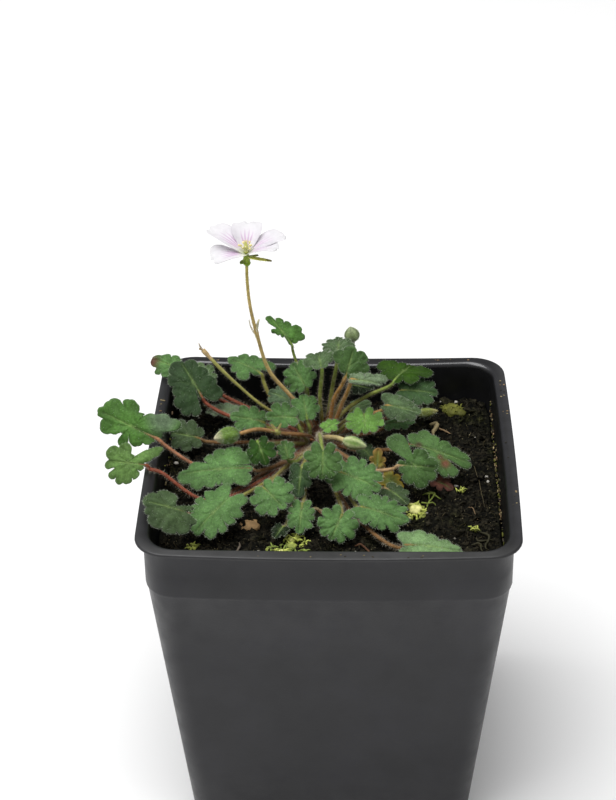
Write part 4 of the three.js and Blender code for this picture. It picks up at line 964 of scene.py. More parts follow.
# How finely a blade is divided: rings from its middle to its edge, and points round each ring
RINGS = 12
RING_CLOSING = 0.85
ANGLES_PER_LOBE = 15
FEWEST_ANGLES = 110
MOST_ANGLES = 170
UNDER_TONE = colour(88, 104, 78)
VEIN_TONE = colour(132, 158, 92)
HAIR_AND_SHEEN_MARGIN_TONE = colour(140, 158, 126)

# The relief of a blade, in millimetres: how high it rises between the veins, how deep they are sunk, how
# high its waves and its grain are, and how far its outermost part turns down
QUILT = 0.42
VEIN_SUNK = 0.2
WAVE = 0.5
GRAIN = 0.1
TURNED_DOWN = 0.35
TURNED_FROM = 0.85
# How wide a vein, the quilting beside it and the midrib's pale line are, and how wide waves and grain
VEIN_WIDE = 0.2
QUILT_WIDE = 0.6
MIDRIB_WIDE = 0.3
WAVE_WIDE = 2.6
GRAIN_WIDE = 0.8
# Where the pale margin starts, partly the edge hairs' own colour and partly painted sheen, how pale it is at
# least, for each bit of fuzz and at most
MARGIN_FROM = 0.93
MARGIN_PALE = (0.1, 0.06, 0.28)
# How thickly hairs stand on the face, under it and on the rim, for a fuzz of one
FACE_FUR = 0.05
UNDER_FUR = 0.03
RIM_FUR = (0.85, 0.6)
FUR_PATCHES = 12
FUR_PATCHY = (0.3, 1.3)


# How much a blade's tone varies: with its waves, with its grain, by the joint, between the veins, halfway out
# and towards the edge.
# The waves, the veins, halfway and the edge carry painted light and painted shade: lighter where the blade
# rises, darker in the sunken veins and where the edge turns down
WAVE_SHADE = 0.16
GRAIN_SHADE = 0.1
JOINT_SHADE = 0.16
QUILT_SHADE = 0.2
HALFWAY_SHADE = 0.16
OUTER_SHADE = 0.2
OUTER_FROM = 0.55
# How far the lighter part by the joint reaches, as a share of the length and of the width
JOINT_PART = 0.3
# How strongly the midrib and the smaller veins show
MIDRIB_SHOWS = 0.4
VEINS_SHOW = 0.14


def blade_tones(look, long, wide, s, t, out, ripple, fine, vein, wide_vein, midrib):
    """A blade's own colour, lighter by the joint, with painted light on its rises and painted shade in its
    sunken veins and down-turned edge, and its veins.
    """
    near_joint = np.exp(-((s / (JOINT_PART * long)) ** 2 + (t / (JOINT_PART * wide)) ** 2))
    # Painted light halfway out, where the lobes rise, and painted shade towards the edge, which turns down
    worn = HALFWAY_SHADE * np.sin(math.pi * np.clip(1.5 * out, 0, 1))
    worn -= OUTER_SHADE * np.clip(out - OUTER_FROM, 0, 1) / (1 - OUTER_FROM)
    # Painted light where the waves rise and between the veins, painted shade in the sunken veins
    shade = 1 + WAVE_SHADE * ripple + GRAIN_SHADE * fine + JOINT_SHADE * near_joint
    shade += QUILT_SHADE * (0.5 - wide_vein) + worn
    tones = look * shade[:, None]
    shown = MIDRIB_SHOWS * midrib * (1 - 0.8 * out) + VEINS_SHOW * vein * (1 - out)
    return tones + (VEIN_TONE - tones) * shown[:, None]


def blade_faces(count):
    """The faces of a blade's upper side, its under side and its rim, for rings of that many points."""
    size = 1 + RINGS * count
    top = np.vstack([fan(0, 1, count, True), np.roll(ring_faces(RINGS, count, 1)[:, ::-1], 1, axis=1)])
    under = np.where(top < 0, -1, top + size)
    under[top[:, 3] < 0, :3] = under[top[:, 3] < 0, 2::-1]
    under[top[:, 3] >= 0] = under[top[:, 3] >= 0, ::-1]
    outer = 1 + (RINGS - 1) * count + np.arange(count)
    after = np.roll(outer, -1)
    return top, under, np.stack([outer, size + outer, size + after, after], 1)


def stained(tones, stains, s, t):
    """The tones with round stains in them, each so far along and across the blade and so wide."""
    for far, side, wide, stain in stains:
        spot = np.exp(-(((s - far) ** 2 + (t - side) ** 2) / wide ** 2) ** 1.5 * 1.2)
        tones = tones + (stain - tones) * spot[:, None]
    return tones


def blade(leaf, look, fuzz, number):
    """A blade at full detail, with its lobes, notches, sunken veins and quilted, wavy face: the points,
    faces and tones of its skin, and how thickly the hairs stand on each face."""
    draws = np.random.default_rng(SEED + number)
    along, left, up = turned(leaf["turn"], leaf["rise"], leaf["roll"])
    lobes = lobes_of(leaf)
    count = min(max(ANGLES_PER_LOBE * len(lobes), FEWEST_ANGLES), MOST_ANGLES)
    angles = np.linspace(-math.pi, math.pi, count, endpoint=False)
    edge = edge_of(leaf, lobes, angles, draws)
    veins = veins_of(leaf, lobes, (angles, edge))
    shares = (np.arange(1, RINGS + 1) / RINGS) ** RING_CLOSING
    flat = np.vstack([[[0, 0]], *[np.stack([edge * f * np.cos(angles), edge * f * np.sin(angles)], 1)
                                  for f in shares]])
    out = np.concatenate([[0], np.repeat(shares, count)])
    flat[:, 0] += PALM * leaf["long"]
    s, t = flat.T
    vein = nearness(flat, veins, VEIN_WIDE)
    wide_vein = nearness(flat, veins, QUILT_WIDE)
    midrib = nearness(flat, veins[:1], MIDRIB_WIDE)
    ripple = value_noise(np.stack([s, t, np.full(len(s), number * 9.7)], 1), WAVE_WIDE, number)
    fine = value_noise(np.stack([s, t, np.full(len(s), number * 3.1)], 1), GRAIN_WIDE, number + 50)
    height = blade_height(leaf, s, t) + QUILT * (1 - wide_vein) * out ** 0.5 - VEIN_SUNK * vein
    height += WAVE * ripple * out ** 1.5 + GRAIN * fine
    height -= TURNED_DOWN * np.clip(out - TURNED_FROM, 0, 1) ** 2 / (1 - TURNED_FROM)
    thick = BLADE_THICK * (1 - 0.5 * out ** 4)
    spine = np.array(leaf["at"]) + s[:, None] * along + t[:, None] * left
    points = np.vstack([spine + (height + side * thick / 2)[:, None] * up for side in (1, -1)])
    top, under, rim = blade_faces(count)
    tones = blade_tones(look, leaf["long"], leaf["wide"], s, t, out, ripple, fine, vein, wide_vein, midrib)
    # A pale margin, partly the edge hairs' own colour and partly painted sheen
    least, more, most = MARGIN_PALE
    margin = np.clip(out - MARGIN_FROM, 0, 1) / (1 - MARGIN_FROM) * min(least + more * fuzz, most)
    tones += (HAIR_AND_SHEEN_MARGIN_TONE - tones) * margin[:, None]
    if "edge" in leaf:
        tones += (leaf["edge"] - tones) * (out ** 3)[:, None]
    tones = stained(tones, leaf.get("stains", ()), s, t)
    lower = tones * 0.5 + UNDER_TONE * 0.4 + VEIN_TONE * 0.12 * vein[:, None]
    patchy = np.interp(angles, np.linspace(-math.pi, math.pi, FUR_PATCHES),
                       draws.uniform(*FUR_PATCHY, FUR_PATCHES))
    fur = np.concatenate([np.full(len(top), FACE_FUR * fuzz ** 1.6), np.full(len(under), UNDER_FUR * fuzz),
                          (RIM_FUR[0] + RIM_FUR[1] * fuzz) * patchy])
    return points, np.vstack([top, under, rim]), np.vstack([tones, lower]), fur


# A petiole with no points of its own passes this share of the way out, bent this much towards the midrib
FREE_SHARE = 0.6
FREE_BEND = 0.1
FREE_DROP = 0.4
# Where it lies under the midrib, as shares of the length, and how far under the blade's middle
RIB_PLACES = (0.12, 0.34, 0.6)
RIB_UNDER = 0.26
RIB_TONE = colour(92, 116, 66)
# How a petiole thins on its way out and under the blade, and the bands in its tone: how strong and how close
OUTWARD_THINNER = 0.2
RIB_THINNER = 0.75
BANDS = 0.12
BAND_STEP = 1.9


def petiole_path(leaf):
    """The petiole's points from the crown up to the joint, as in the part, then on under the midrib."""
    along, _, up = turned(leaf["turn"], leaf["rise"], leaf["roll"])
    at = np.array(leaf["at"], float)
    end = at - JOINT_DROP * up
    dx, dy = end[0] - CROWN[0], end[1] - CROWN[1]
    far = math.hypot(dx, dy)
    root = (CROWN[0] + ROOT_OUT * dx / far, CROWN[1] + ROOT_OUT * dy / far, ROOT_Z)
    passed = leaf.get("by") or [(CROWN[0] + FREE_SHARE * dx - FREE_BEND * far * along[0],
                                 CROWN[1] + FREE_SHARE * dy - FREE_BEND * far * along[1],
                                 0.45 * end[2] + 0.55 * ROOT_Z - FREE_DROP)]
    drop = end + 0.12 * (np.array(passed[0]) - end) - np.array([0, 0, 0.5])
    seated = at - 0.5 * up
    ribs = []
    for share in RIB_PLACES:
        s = share * leaf["long"]
        ribs.append(at + s * along + (float(blade_height(leaf, s, 0.0)) - RIB_UNDER) * up)
    return smooth_path([root, *reversed(passed), drop, seated, *ribs], 7)


def petiole(skin, leaf):
    """A hairy petiole, thicker at the crown, that runs out under the blade's midrib."""
    path = petiole_path(leaf)
    run = np.concatenate([[0], np.cumsum(np.linalg.norm(np.diff(path, axis=0), axis=1))])
    blade_end, crown_end = STEM_LOOKS[leaf["stem"]]
    rib = RIB_PLACES[-1] * leaf["long"]
    joint = run[-1] - rib
    grown = np.clip(run / joint, 0, 1)
    past = np.clip((run - joint) / rib, 0, 1)
    slim = leaf.get("slim", 1.0)
    thinner = 1 + OUTWARD_THINNER - OUTWARD_THINNER * grown - (1 - slim) * grown
    radii = PETIOLE_RADIUS * thinner * (1 - RIB_THINNER * past)
    tones = crown_end + (blade_end - crown_end) * grown[:, None] ** 1.5
    tones = tones * (1 + BANDS * np.sin(run * BAND_STEP + joint))[:, None]
    tones += (RIB_TONE - tones) * np.minimum(past * 2.5, 1)[:, None]
    tube(skin, path, radii, tones, 8, 1.0)


# Flower, buds and bare stalks

# A sliver's rows and columns of points, how far its foot lies behind its place, as a share of its length,
# how much its sides fold up, and how thick it is
SLIVER_GRID = (12, 5)
SLIVER_FOOT = 0.12
SLIVER_FOLD = 0.16
SLIVER_THICK = 0.26


def sliver(skin, at, turn, rise, long, wide, tone, bend=0.12, fur=0.4, tip=None):
    """A small pointed blade, such as a sepal or a bract, folded a little along its middle."""
    along, left, up = turned(turn, rise)
    rows, columns = SLIVER_GRID
    u, v = np.meshgrid(np.linspace(-SLIVER_FOOT, 1, rows), np.linspace(-1, 1, columns), indexing="ij")
    full = np.clip(np.sin(math.pi * np.clip(u + 0.14, 0, 1.14) / 1.14) ** 0.6, 0.04, 1)
    lift = bend * long * u * np.abs(u) + SLIVER_FOLD * wide * v ** 2
    points = (np.array(at) + (u * long)[..., None] * along + (v * full * wide / 2)[..., None] * left
              + lift[..., None] * up)
    tones = tone * (1 - 0.25 * np.exp(-(v / 0.3) ** 2))[..., None]
    if tip is not None:
        tones += (tip - tones) * (np.clip(u - 0.72, 0, 1) / 0.28)[..., None]
    plate(skin, points.reshape(-1, 3), rows, columns, SLIVER_THICK, up, tones.reshape(-1, 3), fur)


SEPALS = (
    # turn, rise, length, width, how far under the petals, tone, tone of the tip; the main tones are painted
    # lighter than the sepals' own colour, as painted light on their steep faces
    (-12, -6, 6.3, 1.15, 0.9, colour(228, 232, 116), colour(128, 112, 70)),
    (-14, 14, 3.2, 0.8, 0.9, colour(150, 160, 88), colour(120, 126, 70)),
    (-80, -30, 1.7, 1.8, 1.9, colour(144, 170, 62), colour(130, 156, 60)),
    (205, -14, 1.7, 1.6, 2.0, colour(128, 152, 56), colour(120, 144, 56)),
)


# The stalk's tones by the crown, in the middle and under the flower, and where along it each holds
STALK_TONES = (colour(206, 154, 110), colour(214, 188, 122), colour(214, 188, 122), colour(192, 186, 94))
STALK_TONE_PLACES = (0, 0.45, 0.7, 1)
# How wide the swelling at the stalk's node is
NODE_WIDE = 1.3
# The bracts: turn, rise, length, width, colour and bend. Their near-white colours are their pale colour with
# painted light, for steep faces that the lamps light little
BRACTS = (
    (168, 40, 4.2, 0.5, colour(252, 250, 236), 0.5),
    (330, 84, 5.0, 1.1, colour(252, 246, 206), -0.1),
    (250, 70, 2.6, 0.9, colour(252, 250, 236), 0.1),
)
# The green seat of the petals: heights from the flower's place, and radii
SEAT = ((-2.8, 0.45), (-2.4, 0.8), (-1.8, 0.95), (-1, 0.75), (-0.3, 0.6), (0.2, 0.6))
SEAT_TONE = colour(140, 162, 62)


def flower_stalk(skin):
    """The tall stalk, olive above and tan to reddish below, with bracts at its node and the sepals."""
    path = smooth_path(STALK_POINTS, 9)
    grown = np.linspace(0, 1, len(path))
    tones = np.stack([np.interp(grown, STALK_TONE_PLACES, part) for part in np.transpose(STALK_TONES)], 1)
    node = np.exp(-(np.linalg.norm(path - np.array(STALK_POINTS[STALK_NODE]), axis=1) / NODE_WIDE) ** 2)
    tube(skin, path, STALK_RADIUS * (1.08 - 0.36 * grown + 0.3 * node), tones, 10, 0.6)
    at = np.array(STALK_POINTS[STALK_NODE]) - (0, 0, 1)
    for turn, rise, long, wide, tone, bend in BRACTS:
        sliver(skin, at, turn, rise, long, wide, tone, bend, 0)
    top = np.array(FLOWER_AT)
    turned_shape(skin, top, (0, 0, 1), SEAT, SEAT_TONE, 10, 0.5)
    for turn, rise, long, wide, under, tone, tip in SEPALS:
        sliver(skin, top - (0, 0, under), turn, rise, long, wide, tone, 0.04, 0.4, tip)


SPENT_LOW = colour(128, 120, 64)
SPENT_HIGH = colour(160, 160, 92)
SPENT_TIP = colour(196, 170, 124)
SPENT_RADIUS = 0.42


def spent_stalk(skin):
    """The dry stalk that has lost its flowers, olive with a tan broken tip."""
    path = smooth_path(SPENT_POINTS, 9)
    grown = np.linspace(0, 1, len(path))
    tones = SPENT_LOW + (SPENT_HIGH - SPENT_LOW) * grown[:, None]
    tones[-5:] = SPENT_TIP
    tube(skin, path, SPENT_RADIUS + 0.05 * np.sin(grown * 9) + 0.16 * (grown > 0.94), tones, 9, 0.5)
    sliver(skin, path[-1], 160, 30, 1.9, 0.5, colour(196, 184, 166), 0.5, 0)
    sliver(skin, path[-1], 200, 20, 1.2, 0.8, colour(164, 140, 98), 0.1, 0)


# How finely a bud is divided along and round, where its tip's colour starts, its sepals, and how high the
# ridges between them are
BUD_STEPS = 17
BUD_SIDES = 30
BUD_TIP_FROM = 0.62
SEPALS_TO_A_BUD = 5
BUD_RIDGES = 0.06


def bud(skin, given):
    """A bud: an egg of five sepals with pale seams and dark ribs that close on its tip."""
    steps = np.linspace(0, 1, BUD_STEPS)
    radii = given["thick"] / 2 * np.maximum(np.sin(math.pi * steps ** 0.8), 0.02) ** 0.7
    profile = [(given["long"] * (share - 0.5), radius) for share, radius in zip(steps, radii)]
    closing = (np.clip(steps - BUD_TIP_FROM, 0, 1) / (1 - BUD_TIP_FROM))[:, None]
    tones = given["skin"] + (given["tip"] - given["skin"]) * closing
    tones[:2] = given["skin"] * 0.75
    ribs = 0.5 - 0.5 * np.cos(SEPALS_TO_A_BUD * np.arange(BUD_SIDES) * 2 * math.pi / BUD_SIDES)
    striped = tones[:, None] * (1.16 - 0.4 * ribs)[None, :, None]
    if "seams" in given:
        seam = (1 - ribs)[None, :, None] * 0.6 + (1 - steps)[:, None, None] ** 3 * 0.6
        striped += (given["seams"] - striped) * np.clip(seam, 0, 0.9)
    turned_shape(skin, given["at"], given["along"], profile, striped, BUD_SIDES, 0.8, BUD_RIDGES)


# A bud's stalk: its tone and its radius by the crown, its radius by the bud unless its row says so, and
# the swelling and the bracts at its node
BUD_STALK_ROOT = colour(110, 76, 50)
BUD_STALK_RADII = (0.55, 0.5)
NODE_PROFILE = ((-0.9, 0.5), (-0.3, 0.85), (0.4, 0.8), (1, 0.5))
NODE_TONE = colour(140, 140, 76)
NODE_BRACTS = ((150, 40), (230, 24), (20, 58))
NODE_BRACT_TONE = colour(150, 142, 88)


def bud_stalk(skin, given):
    """A bud's stalk, with a swelling and small bracts where it has a node."""
    path = smooth_path([*given["stalk"]], 8)
    tones = BUD_STALK_ROOT + (given["stem"] - BUD_STALK_ROOT) * np.linspace(0, 1, len(path))[:, None]
    low, high = BUD_STALK_RADII
    tube(skin, path, np.linspace(low, given.get("thickness", high), len(path)), tones, 9, 0.5)
    if "node" in given:
        at = path[given["node"]]
        turned_shape(skin, at, path[given["node"] + 1] - at, NODE_PROFILE, NODE_TONE, 10, 0.8)
        for turn, rise in NODE_BRACTS:
            sliver(skin, at, turn, rise, 2.6, 0.9, NODE_BRACT_TONE, 0.1, 0.6)


PETAL_PALE = colour(213, 211, 214)
PETAL_FLUSH = colour(206, 190, 212)
PETAL_VEIN = colour(172, 104, 170)
PETAL_FOOT = colour(206, 212, 172)
PETAL_GRID = (36, 41)
PETAL_THICK = 0.24
# A petal's fullness at places along it, and where its veins run unless its row says so, from side to side
FULL_PLACES = (0, 0.12, 0.25, 0.5, 0.7, 0.86, 0.95, 1)
FULLNESSES = (0.2, 0.34, 0.56, 0.9, 1, 0.94, 0.72, 0.45)
PETAL_VEINS = (-0.5, -0.17, 0.17, 0.5)
# How far the end of the middle vein and of a side vein reach, how fast it fades there, and where it starts
VEIN_END = 0.8
VEIN_END_LESS = 0.25
VEIN_FADE = 0.25
VEIN_START = 0.12


def petal(skin, given):
    """A petal: narrow at its foot, broad and softly notched at its end, with branching pink veins."""
    along, left, up = turned(given["turn"], given["rise"])
    rows, columns = PETAL_GRID
    u, v = np.meshgrid(np.linspace(0, 1, rows), np.linspace(-1, 1, columns), indexing="ij")
    full = np.interp(u, FULL_PLACES, FULLNESSES)
    t = v * full * given["wide"] / 2
    s = u * given["long"] - 0.5 * u ** 8 * np.exp(-(v / 0.3) ** 2) - 0.5 * u ** 6 * v ** 2
    wavy = 0.2 * np.sin(5 * v + 3 * given["turn"]) * u ** 3
    lift = 0.9 * np.sin(math.pi * u * 0.8) + 0.08 * t * t + wavy
    points = (np.array(FLOWER_AT) + s[..., None] * along + t[..., None] * left + lift[..., None] * up)
    lines = np.zeros_like(u)
    for place in given.get("veins", PETAL_VEINS):
        bow = place * (0.5 + 0.5 * u)
        reach = VEIN_END - VEIN_END_LESS * abs(place)
        fade = np.clip((reach - u) / VEIN_FADE, 0, 1) * np.clip((u - VEIN_START) / 0.2, 0, 1)
        thin = 0.16 * (1.1 - 0.5 * u) / np.maximum(full * given["wide"] / 2, 0.3)
        lines = np.maximum(lines, fade * np.exp(-((v - bow) / thin) ** 2))
    flush = np.clip(given.get("flush", 0.2) * np.exp(-((u - 0.42) / 0.35) ** 2), 0, 1)
    tones = PETAL_PALE + (PETAL_FLUSH - PETAL_PALE) * flush[..., None]
    tones = tones + (PETAL_VEIN - tones) * (given.get("strong", 0.85) * lines)[..., None]
    foot = np.clip(1 - u / 0.24, 0, 1)
    tones = tones + (PETAL_FOOT - tones) * foot[..., None]
    thick = PETAL_THICK * (1 - 0.85 * np.maximum(np.abs(v), u) ** 3)
    plate(skin, points.reshape(-1, 3), rows, columns, thick.ravel(), up, tones.reshape(-1, 3))


PISTIL_TONE = colour(208, 212, 122)
STIGMAS = 5
STIGMA_TONE = colour(222, 206, 160)
STAMENS = 10
STAMEN_TALL = (1.5, 2.0)
STAMEN_TONE = colour(232, 230, 184)
ANTHER = ((-0.35, 0.1), (-0.15, 0.24), (0.15, 0.24), (0.35, 0.1))
ANTHER_TONE = colour(236, 224, 156)


def way_out(part, parts):
    """A level direction, that part of the way round."""
    a = 2 * math.pi * part / parts
    return np.array([math.cos(a), math.sin(a), 0])


def flower_centre(skin):
    """The green pistil and the cream stamens round it."""
    base = np.array(FLOWER_AT) + (0, 0, 0.6)
    tube(skin, [base, base + (0, 0, 1.3), base + (0, 0, 2.7)], (0.6, 0.46, 0.3), PISTIL_TONE, 8)
    for i in range(STIGMAS):
        lean = way_out(i, STIGMAS)
        top = base + (0, 0, 2.6)
        tube(skin, [top, top + 0.4 * lean + (0, 0, 0.3), top + 0.7 * lean + (0, 0, 0.2)], (0.13, 0.11, 0.09),
             STIGMA_TONE, 6)
    for i in range(STAMENS):
        out = way_out(i + 0.5, STAMENS)
        tall = STAMEN_TALL[i % 2]
        head = base + out * (1.15 + 0.25 * (i % 3)) + (0, 0, tall)
        tube(skin, [base + out * 0.35, base + out * 0.7 + (0, 0, tall * 0.55), head], (0.13, 0.11, 0.1),
             STAMEN_TONE, 6)
        turned_shape(skin, head, out + (0, 0, 0.4), ANTHER, ANTHER_TONE, 7)


# Pot and soil

SIDE_STEPS = 17
CORNER_STEPS = 9


def square_ring(half, radius, bowed, z, side_steps, bulges):
    """A rounded square whose sides bow, as points anticlockwise from above."""
    flat = half - radius
    beside = flat * (2 * np.arange(1, side_steps + 1) / (side_steps + 1) - 1)
    corner = math.pi / 2 * np.arange(CORNER_STEPS + 1) / CORNER_STEPS
    ring = []
    for side, bulge in enumerate(bulges):
        bow = bowed * bulge * (1 - (beside / flat) ** 2)
        x = np.concatenate([half + bow, flat + radius * np.cos(corner)])
        y = np.concatenate([beside, flat + radius * np.sin(corner)])
        cos, sin = round(math.cos(side * math.pi / 2)), round(math.sin(side * math.pi / 2))
        ring.append(np.stack([x * cos - y * sin, x * sin + y * cos, np.full(len(x), z)], 1))
    return np.vstack(ring)


# How far the wall stands in under the step, and how much tighter the corners are at the foot and, for each
# millimetre inward, inside
STEP_IN = 0.4
FOOT_TIGHTER = 2
INWARD_TIGHTER = 0.1


def wall_half(z):
    """Half the width of the pot's outside at a height."""
    return STEP_HALF if z >= STEP_Z else FOOT_HALF + (STEP_HALF - STEP_IN - FOOT_HALF) * z / STEP_Z


def pot_ring(half, z, inset=0.0, side_steps=SIDE_STEPS, bulges=SIDE_BULGES):
    """A ring of the pot, or of the soil in it, at a height."""
    share = (half - FOOT_HALF) / (POT_HALF - FOOT_HALF)
    radius = CORNER_RADIUS - FOOT_TIGHTER * (1 - share) - (POT_HALF - half) * INWARD_TIGHTER - inset
    return square_ring(half, radius, max(share, 0), z, side_steps, bulges)


def lofted(skin, rings, tones, fur=0.0):
    """A skin through rings, with a flat fan at each end."""
    capped(skin, rings, np.mean(rings[0], axis=0), np.mean(rings[-1], axis=0), tones, fur)


# The pot's profile, as half the width and the height of each ring: up the outside, over the lip, and down
# the inside
OUTSIDE = ((33.5, 0), (34.2, 0.1), (34.5, 0.5), (34.92, 1.2), (36.75, 19), (38.7, 38), (40.65, 57),
           (42.59, 75.9), (42.9, 76.4), (43, 77), (43, 82), (43, 88.8), (43.12, 89.1), (43.45, 89.2),
           (44.5, 89.2), (44.75, 89.28), (44.8, 89.45), (44.78, 89.7), (44.65, 89.92), (44.4, 90), (43.6, 90),
           (42.9, 90), (42.4, 89.9), (41.99, 89.61))
INSIDE = ((41.73, 89.2), (41.6, 88.7), (41.5, 83), (41.4, 77), (40.99, 75.9), (39.05, 57), (37.1, 38),
          (35.15, 19), (33.4, 2.6), (33.1, 2.1), (32.5, 1.8))
# The first ring of the lip's outside, the rings of its flat top, and those of its rounded inner edge, whose
# sides bow in another way
LIP_FROM = 14
FLAT_TOP = (19, 22)
INNER_EDGE = (21, 26)
INNER_BULGES = (0.65, -2.1, 0.7, 0.4)
OUTSIDE_TONE = colour(24, 24, 27)
# The inside is painted darker than the outside, as painted shade in the pot's hollow
INSIDE_PAINTED_SHADE_TONE = colour(18, 18, 19)
# The rim's top tones: the paler front is painted light, the darkest back painted shade
FRONT_RIM_PAINTED_LIGHT = colour(48, 48, 48)
BACK_RIM_PAINTED_SHADE = colour(20, 20, 22)
SIDE_RIM_TONE = colour(40, 40, 42)
# Where the rim's tones change, from the pot's middle, over what width, and how much its sides dim inward
RIM_TURNS_AT = 38
RIM_TURNS_OVER = 4
RIM_DIMS = 0.55
# What the outside's tone is times away from the front, as painted shade on the walls that face from the
# light, and where the front's own tone sets in
AWAY_PAINTED_SHADE = 0.82
FRONT_FROM = 30
FRONT_OVER = 6
# Where the rear inner edge starts to be rubbed smooth, from the pot's middle
RUBBED_FROM = 36


def beyond(out, place, width):
    """A share that grows from 0 at a place to 1 a width further out."""
    return np.clip((out - place) / width, 0, 1)


def rim_tones(ring, inward=0.0):
    """The rim's tone all round: pale in front with painted light, darker at the sides, darkest at the back
    with painted shade, dimmer inward.
    """
    y = ring[:, 1:2]
    dim = 1 - RIM_DIMS * inward * beyond(np.abs(ring[:, :1]), RIM_TURNS_AT, RIM_TURNS_OVER)
    tones = SIDE_RIM_TONE + (FRONT_RIM_PAINTED_LIGHT - SIDE_RIM_TONE) * beyond(-y, RIM_TURNS_AT, RIM_TURNS_OVER)
    return (tones + (BACK_RIM_PAINTED_SHADE - tones) * beyond(y, RIM_TURNS_AT, RIM_TURNS_OVER)) * dim


# Edges bent more than this stay sharp
SHARP_ANGLE = math.radians(50)


def pot_mesh(finish):
    """The pot at full detail: rounded lip, stepped collar, tapered walls and a pierced foot."""
    skin = Skin()
    profile = OUTSIDE + INSIDE
    rings = [pot_ring(half, z, bulges=INNER_BULGES if number in range(*INNER_EDGE) else SIDE_BULGES)
             for number, (half, z) in enumerate(profile)]
    tones = np.array([OUTSIDE_TONE] * len(OUTSIDE) + [INSIDE_PAINTED_SHADE_TONE] * len(INSIDE))
    tones = np.repeat(tones[:, None], len(rings[0]), axis=1)
    for number, ring in enumerate(rings):
        # The rim's top, and at half strength its lip, carry painted light in front and painted shade at the
        # back
        if number in range(*FLAT_TOP):
            tones[number] = rim_tones(ring, (number - FLAT_TOP[0]) / 2)
        elif LIP_FROM <= number < FLAT_TOP[0]:
            tones[number] = (rim_tones(ring) + OUTSIDE_TONE) / 2
        elif number < LIP_FROM:
            # Painted shade on the outer wall away from the front
            tones[number] *= AWAY_PAINTED_SHADE + (1 - AWAY_PAINTED_SHADE) * beyond(-ring[:, 1:2], FRONT_FROM, FRONT_OVER)
    lofted(skin, rings, tones)
    made = skin.mesh("pot_body", finish)
    count = len(rings[0])
    polish = np.zeros(len(made.polygons))
    for number in range(INNER_EDGE[0] + 1, INNER_EDGE[1] - 1):
        polish[number * count:(number + 1) * count] = beyond(rings[number][:, 1], RUBBED_FROM, RIM_TURNS_OVER)
    made.attributes.new("polish", "FLOAT", "FACE").data.foreach_set("value", polish)
    body = bpy.data.objects.new("pot_body", made)
    bpy.context.scene.collection.objects.link(body)
    drills = Skin()
    around = np.arange(DRAIN_SIDES) * 2 * math.pi / DRAIN_SIDES
    for x, y in DRAIN_PLACES:
        circle = np.stack([x + DRAIN_RADIUS * np.cos(around), y + DRAIN_RADIUS * np.sin(around)], 1)
        lofted(drills, [np.column_stack([circle, np.full(DRAIN_SIDES, z)])
                        for z in (-DRILL_PAST, FLOOR_THICK + DRILL_PAST)], OUTSIDE_TONE)
    drill = bpy.data.objects.new("pot_drills", drills.mesh("pot_drills", finish))
    bpy.context.scene.collection.objects.link(drill)
    cut = body.modifiers.new("holes", "BOOLEAN")
    cut.object = drill
    cut.operation = "DIFFERENCE"
    cut.solver = "EXACT"
    mesh = bpy.data.meshes.new_from_object(body.evaluated_get(bpy.context.evaluated_depsgraph_get()))
    mesh.name = "pot"
    bpy.data.objects.remove(body)
    bpy.data.objects.remove(drill)
    mesh.polygons.foreach_set("use_smooth", np.ones(len(mesh.polygons), bool))
    mesh.set_sharp_from_angle(angle=SHARP_ANGLE)
    return mesh


def soil_top(x, y):
    """The height of the uneven soil, as the part has it."""
    wide = np.sin(x * 0.19 + 0.6) * np.cos(y * 0.16 - 0.9)
    small = np.sin(x * 0.51 - 1.3) * np.sin(y * 0.47 + 0.4)
    return SOIL_LEVEL + SOIL_BUMP * (0.7 * wide + 0.5 * small)


def rough_soil(x, y):
    """The soil's height with its clods and hollows."""
    places = np.stack([x, y, np.zeros_like(x)], 1)
    clods = 0.7 * value_noise(places, 3.6, 3) + 0.5 * value_noise(places, 1.7, 4)
    return soil_top(x, y) + clods + 0.3 * value_noise(places, 0.8, 5) - 0.15


# The soil's rings under its face: the height, and how much further in than its gap to the wall
SOIL_RINGS = ((2.15, 0), (20, 0), (40, 0), (60, 0), (75.9, 0), (77.2, 0.2))
SOIL_STEPS = 110
SOIL_SIDE_STEPS = 31
SOIL_MIDDLE = 0.005
SOIL_CORNER_IN = 0.6
SOIL_TONE = colour(40, 36, 30)


def soil_mesh(finish):
    """The soil as one closed block with an uneven, clodded top."""
    under = [pot_ring(wall_half(z) - WALL - SOIL_GAP - less, z, SOIL_CORNER_IN, SOIL_SIDE_STEPS)
             for z, less in SOIL_RINGS]
    outline = under[-1]
    top = []
    for share in np.linspace(1, SOIL_MIDDLE, SOIL_STEPS):
        x, y = outline[:, 0] * share, outline[:, 1] * share
        top.append(np.stack([x, y, rough_soil(x, y)], 1))
    count = len(outline)
    bare = np.zeros((len(under) + 1) * count)
    fur = np.concatenate([bare, np.ones((SOIL_STEPS - 2) * count), np.zeros(count), np.ones(count)])
    skin = Skin()
    lofted(skin, [*under, *top], SOIL_TONE, fur)
    return skin.mesh("soil", finish)


def on_soil(x, y, above=0.0):
    """A point on the soil's face."""
    return np.array([x, y, float(rough_soil(np.array([x]), np.array([y]))[0]) + above])


# How uneven a lump is, in large and in small, and how much its tone varies
LUMP_ROUGH = (0.28, 0.16)
LUMP_SHADE = 0.25


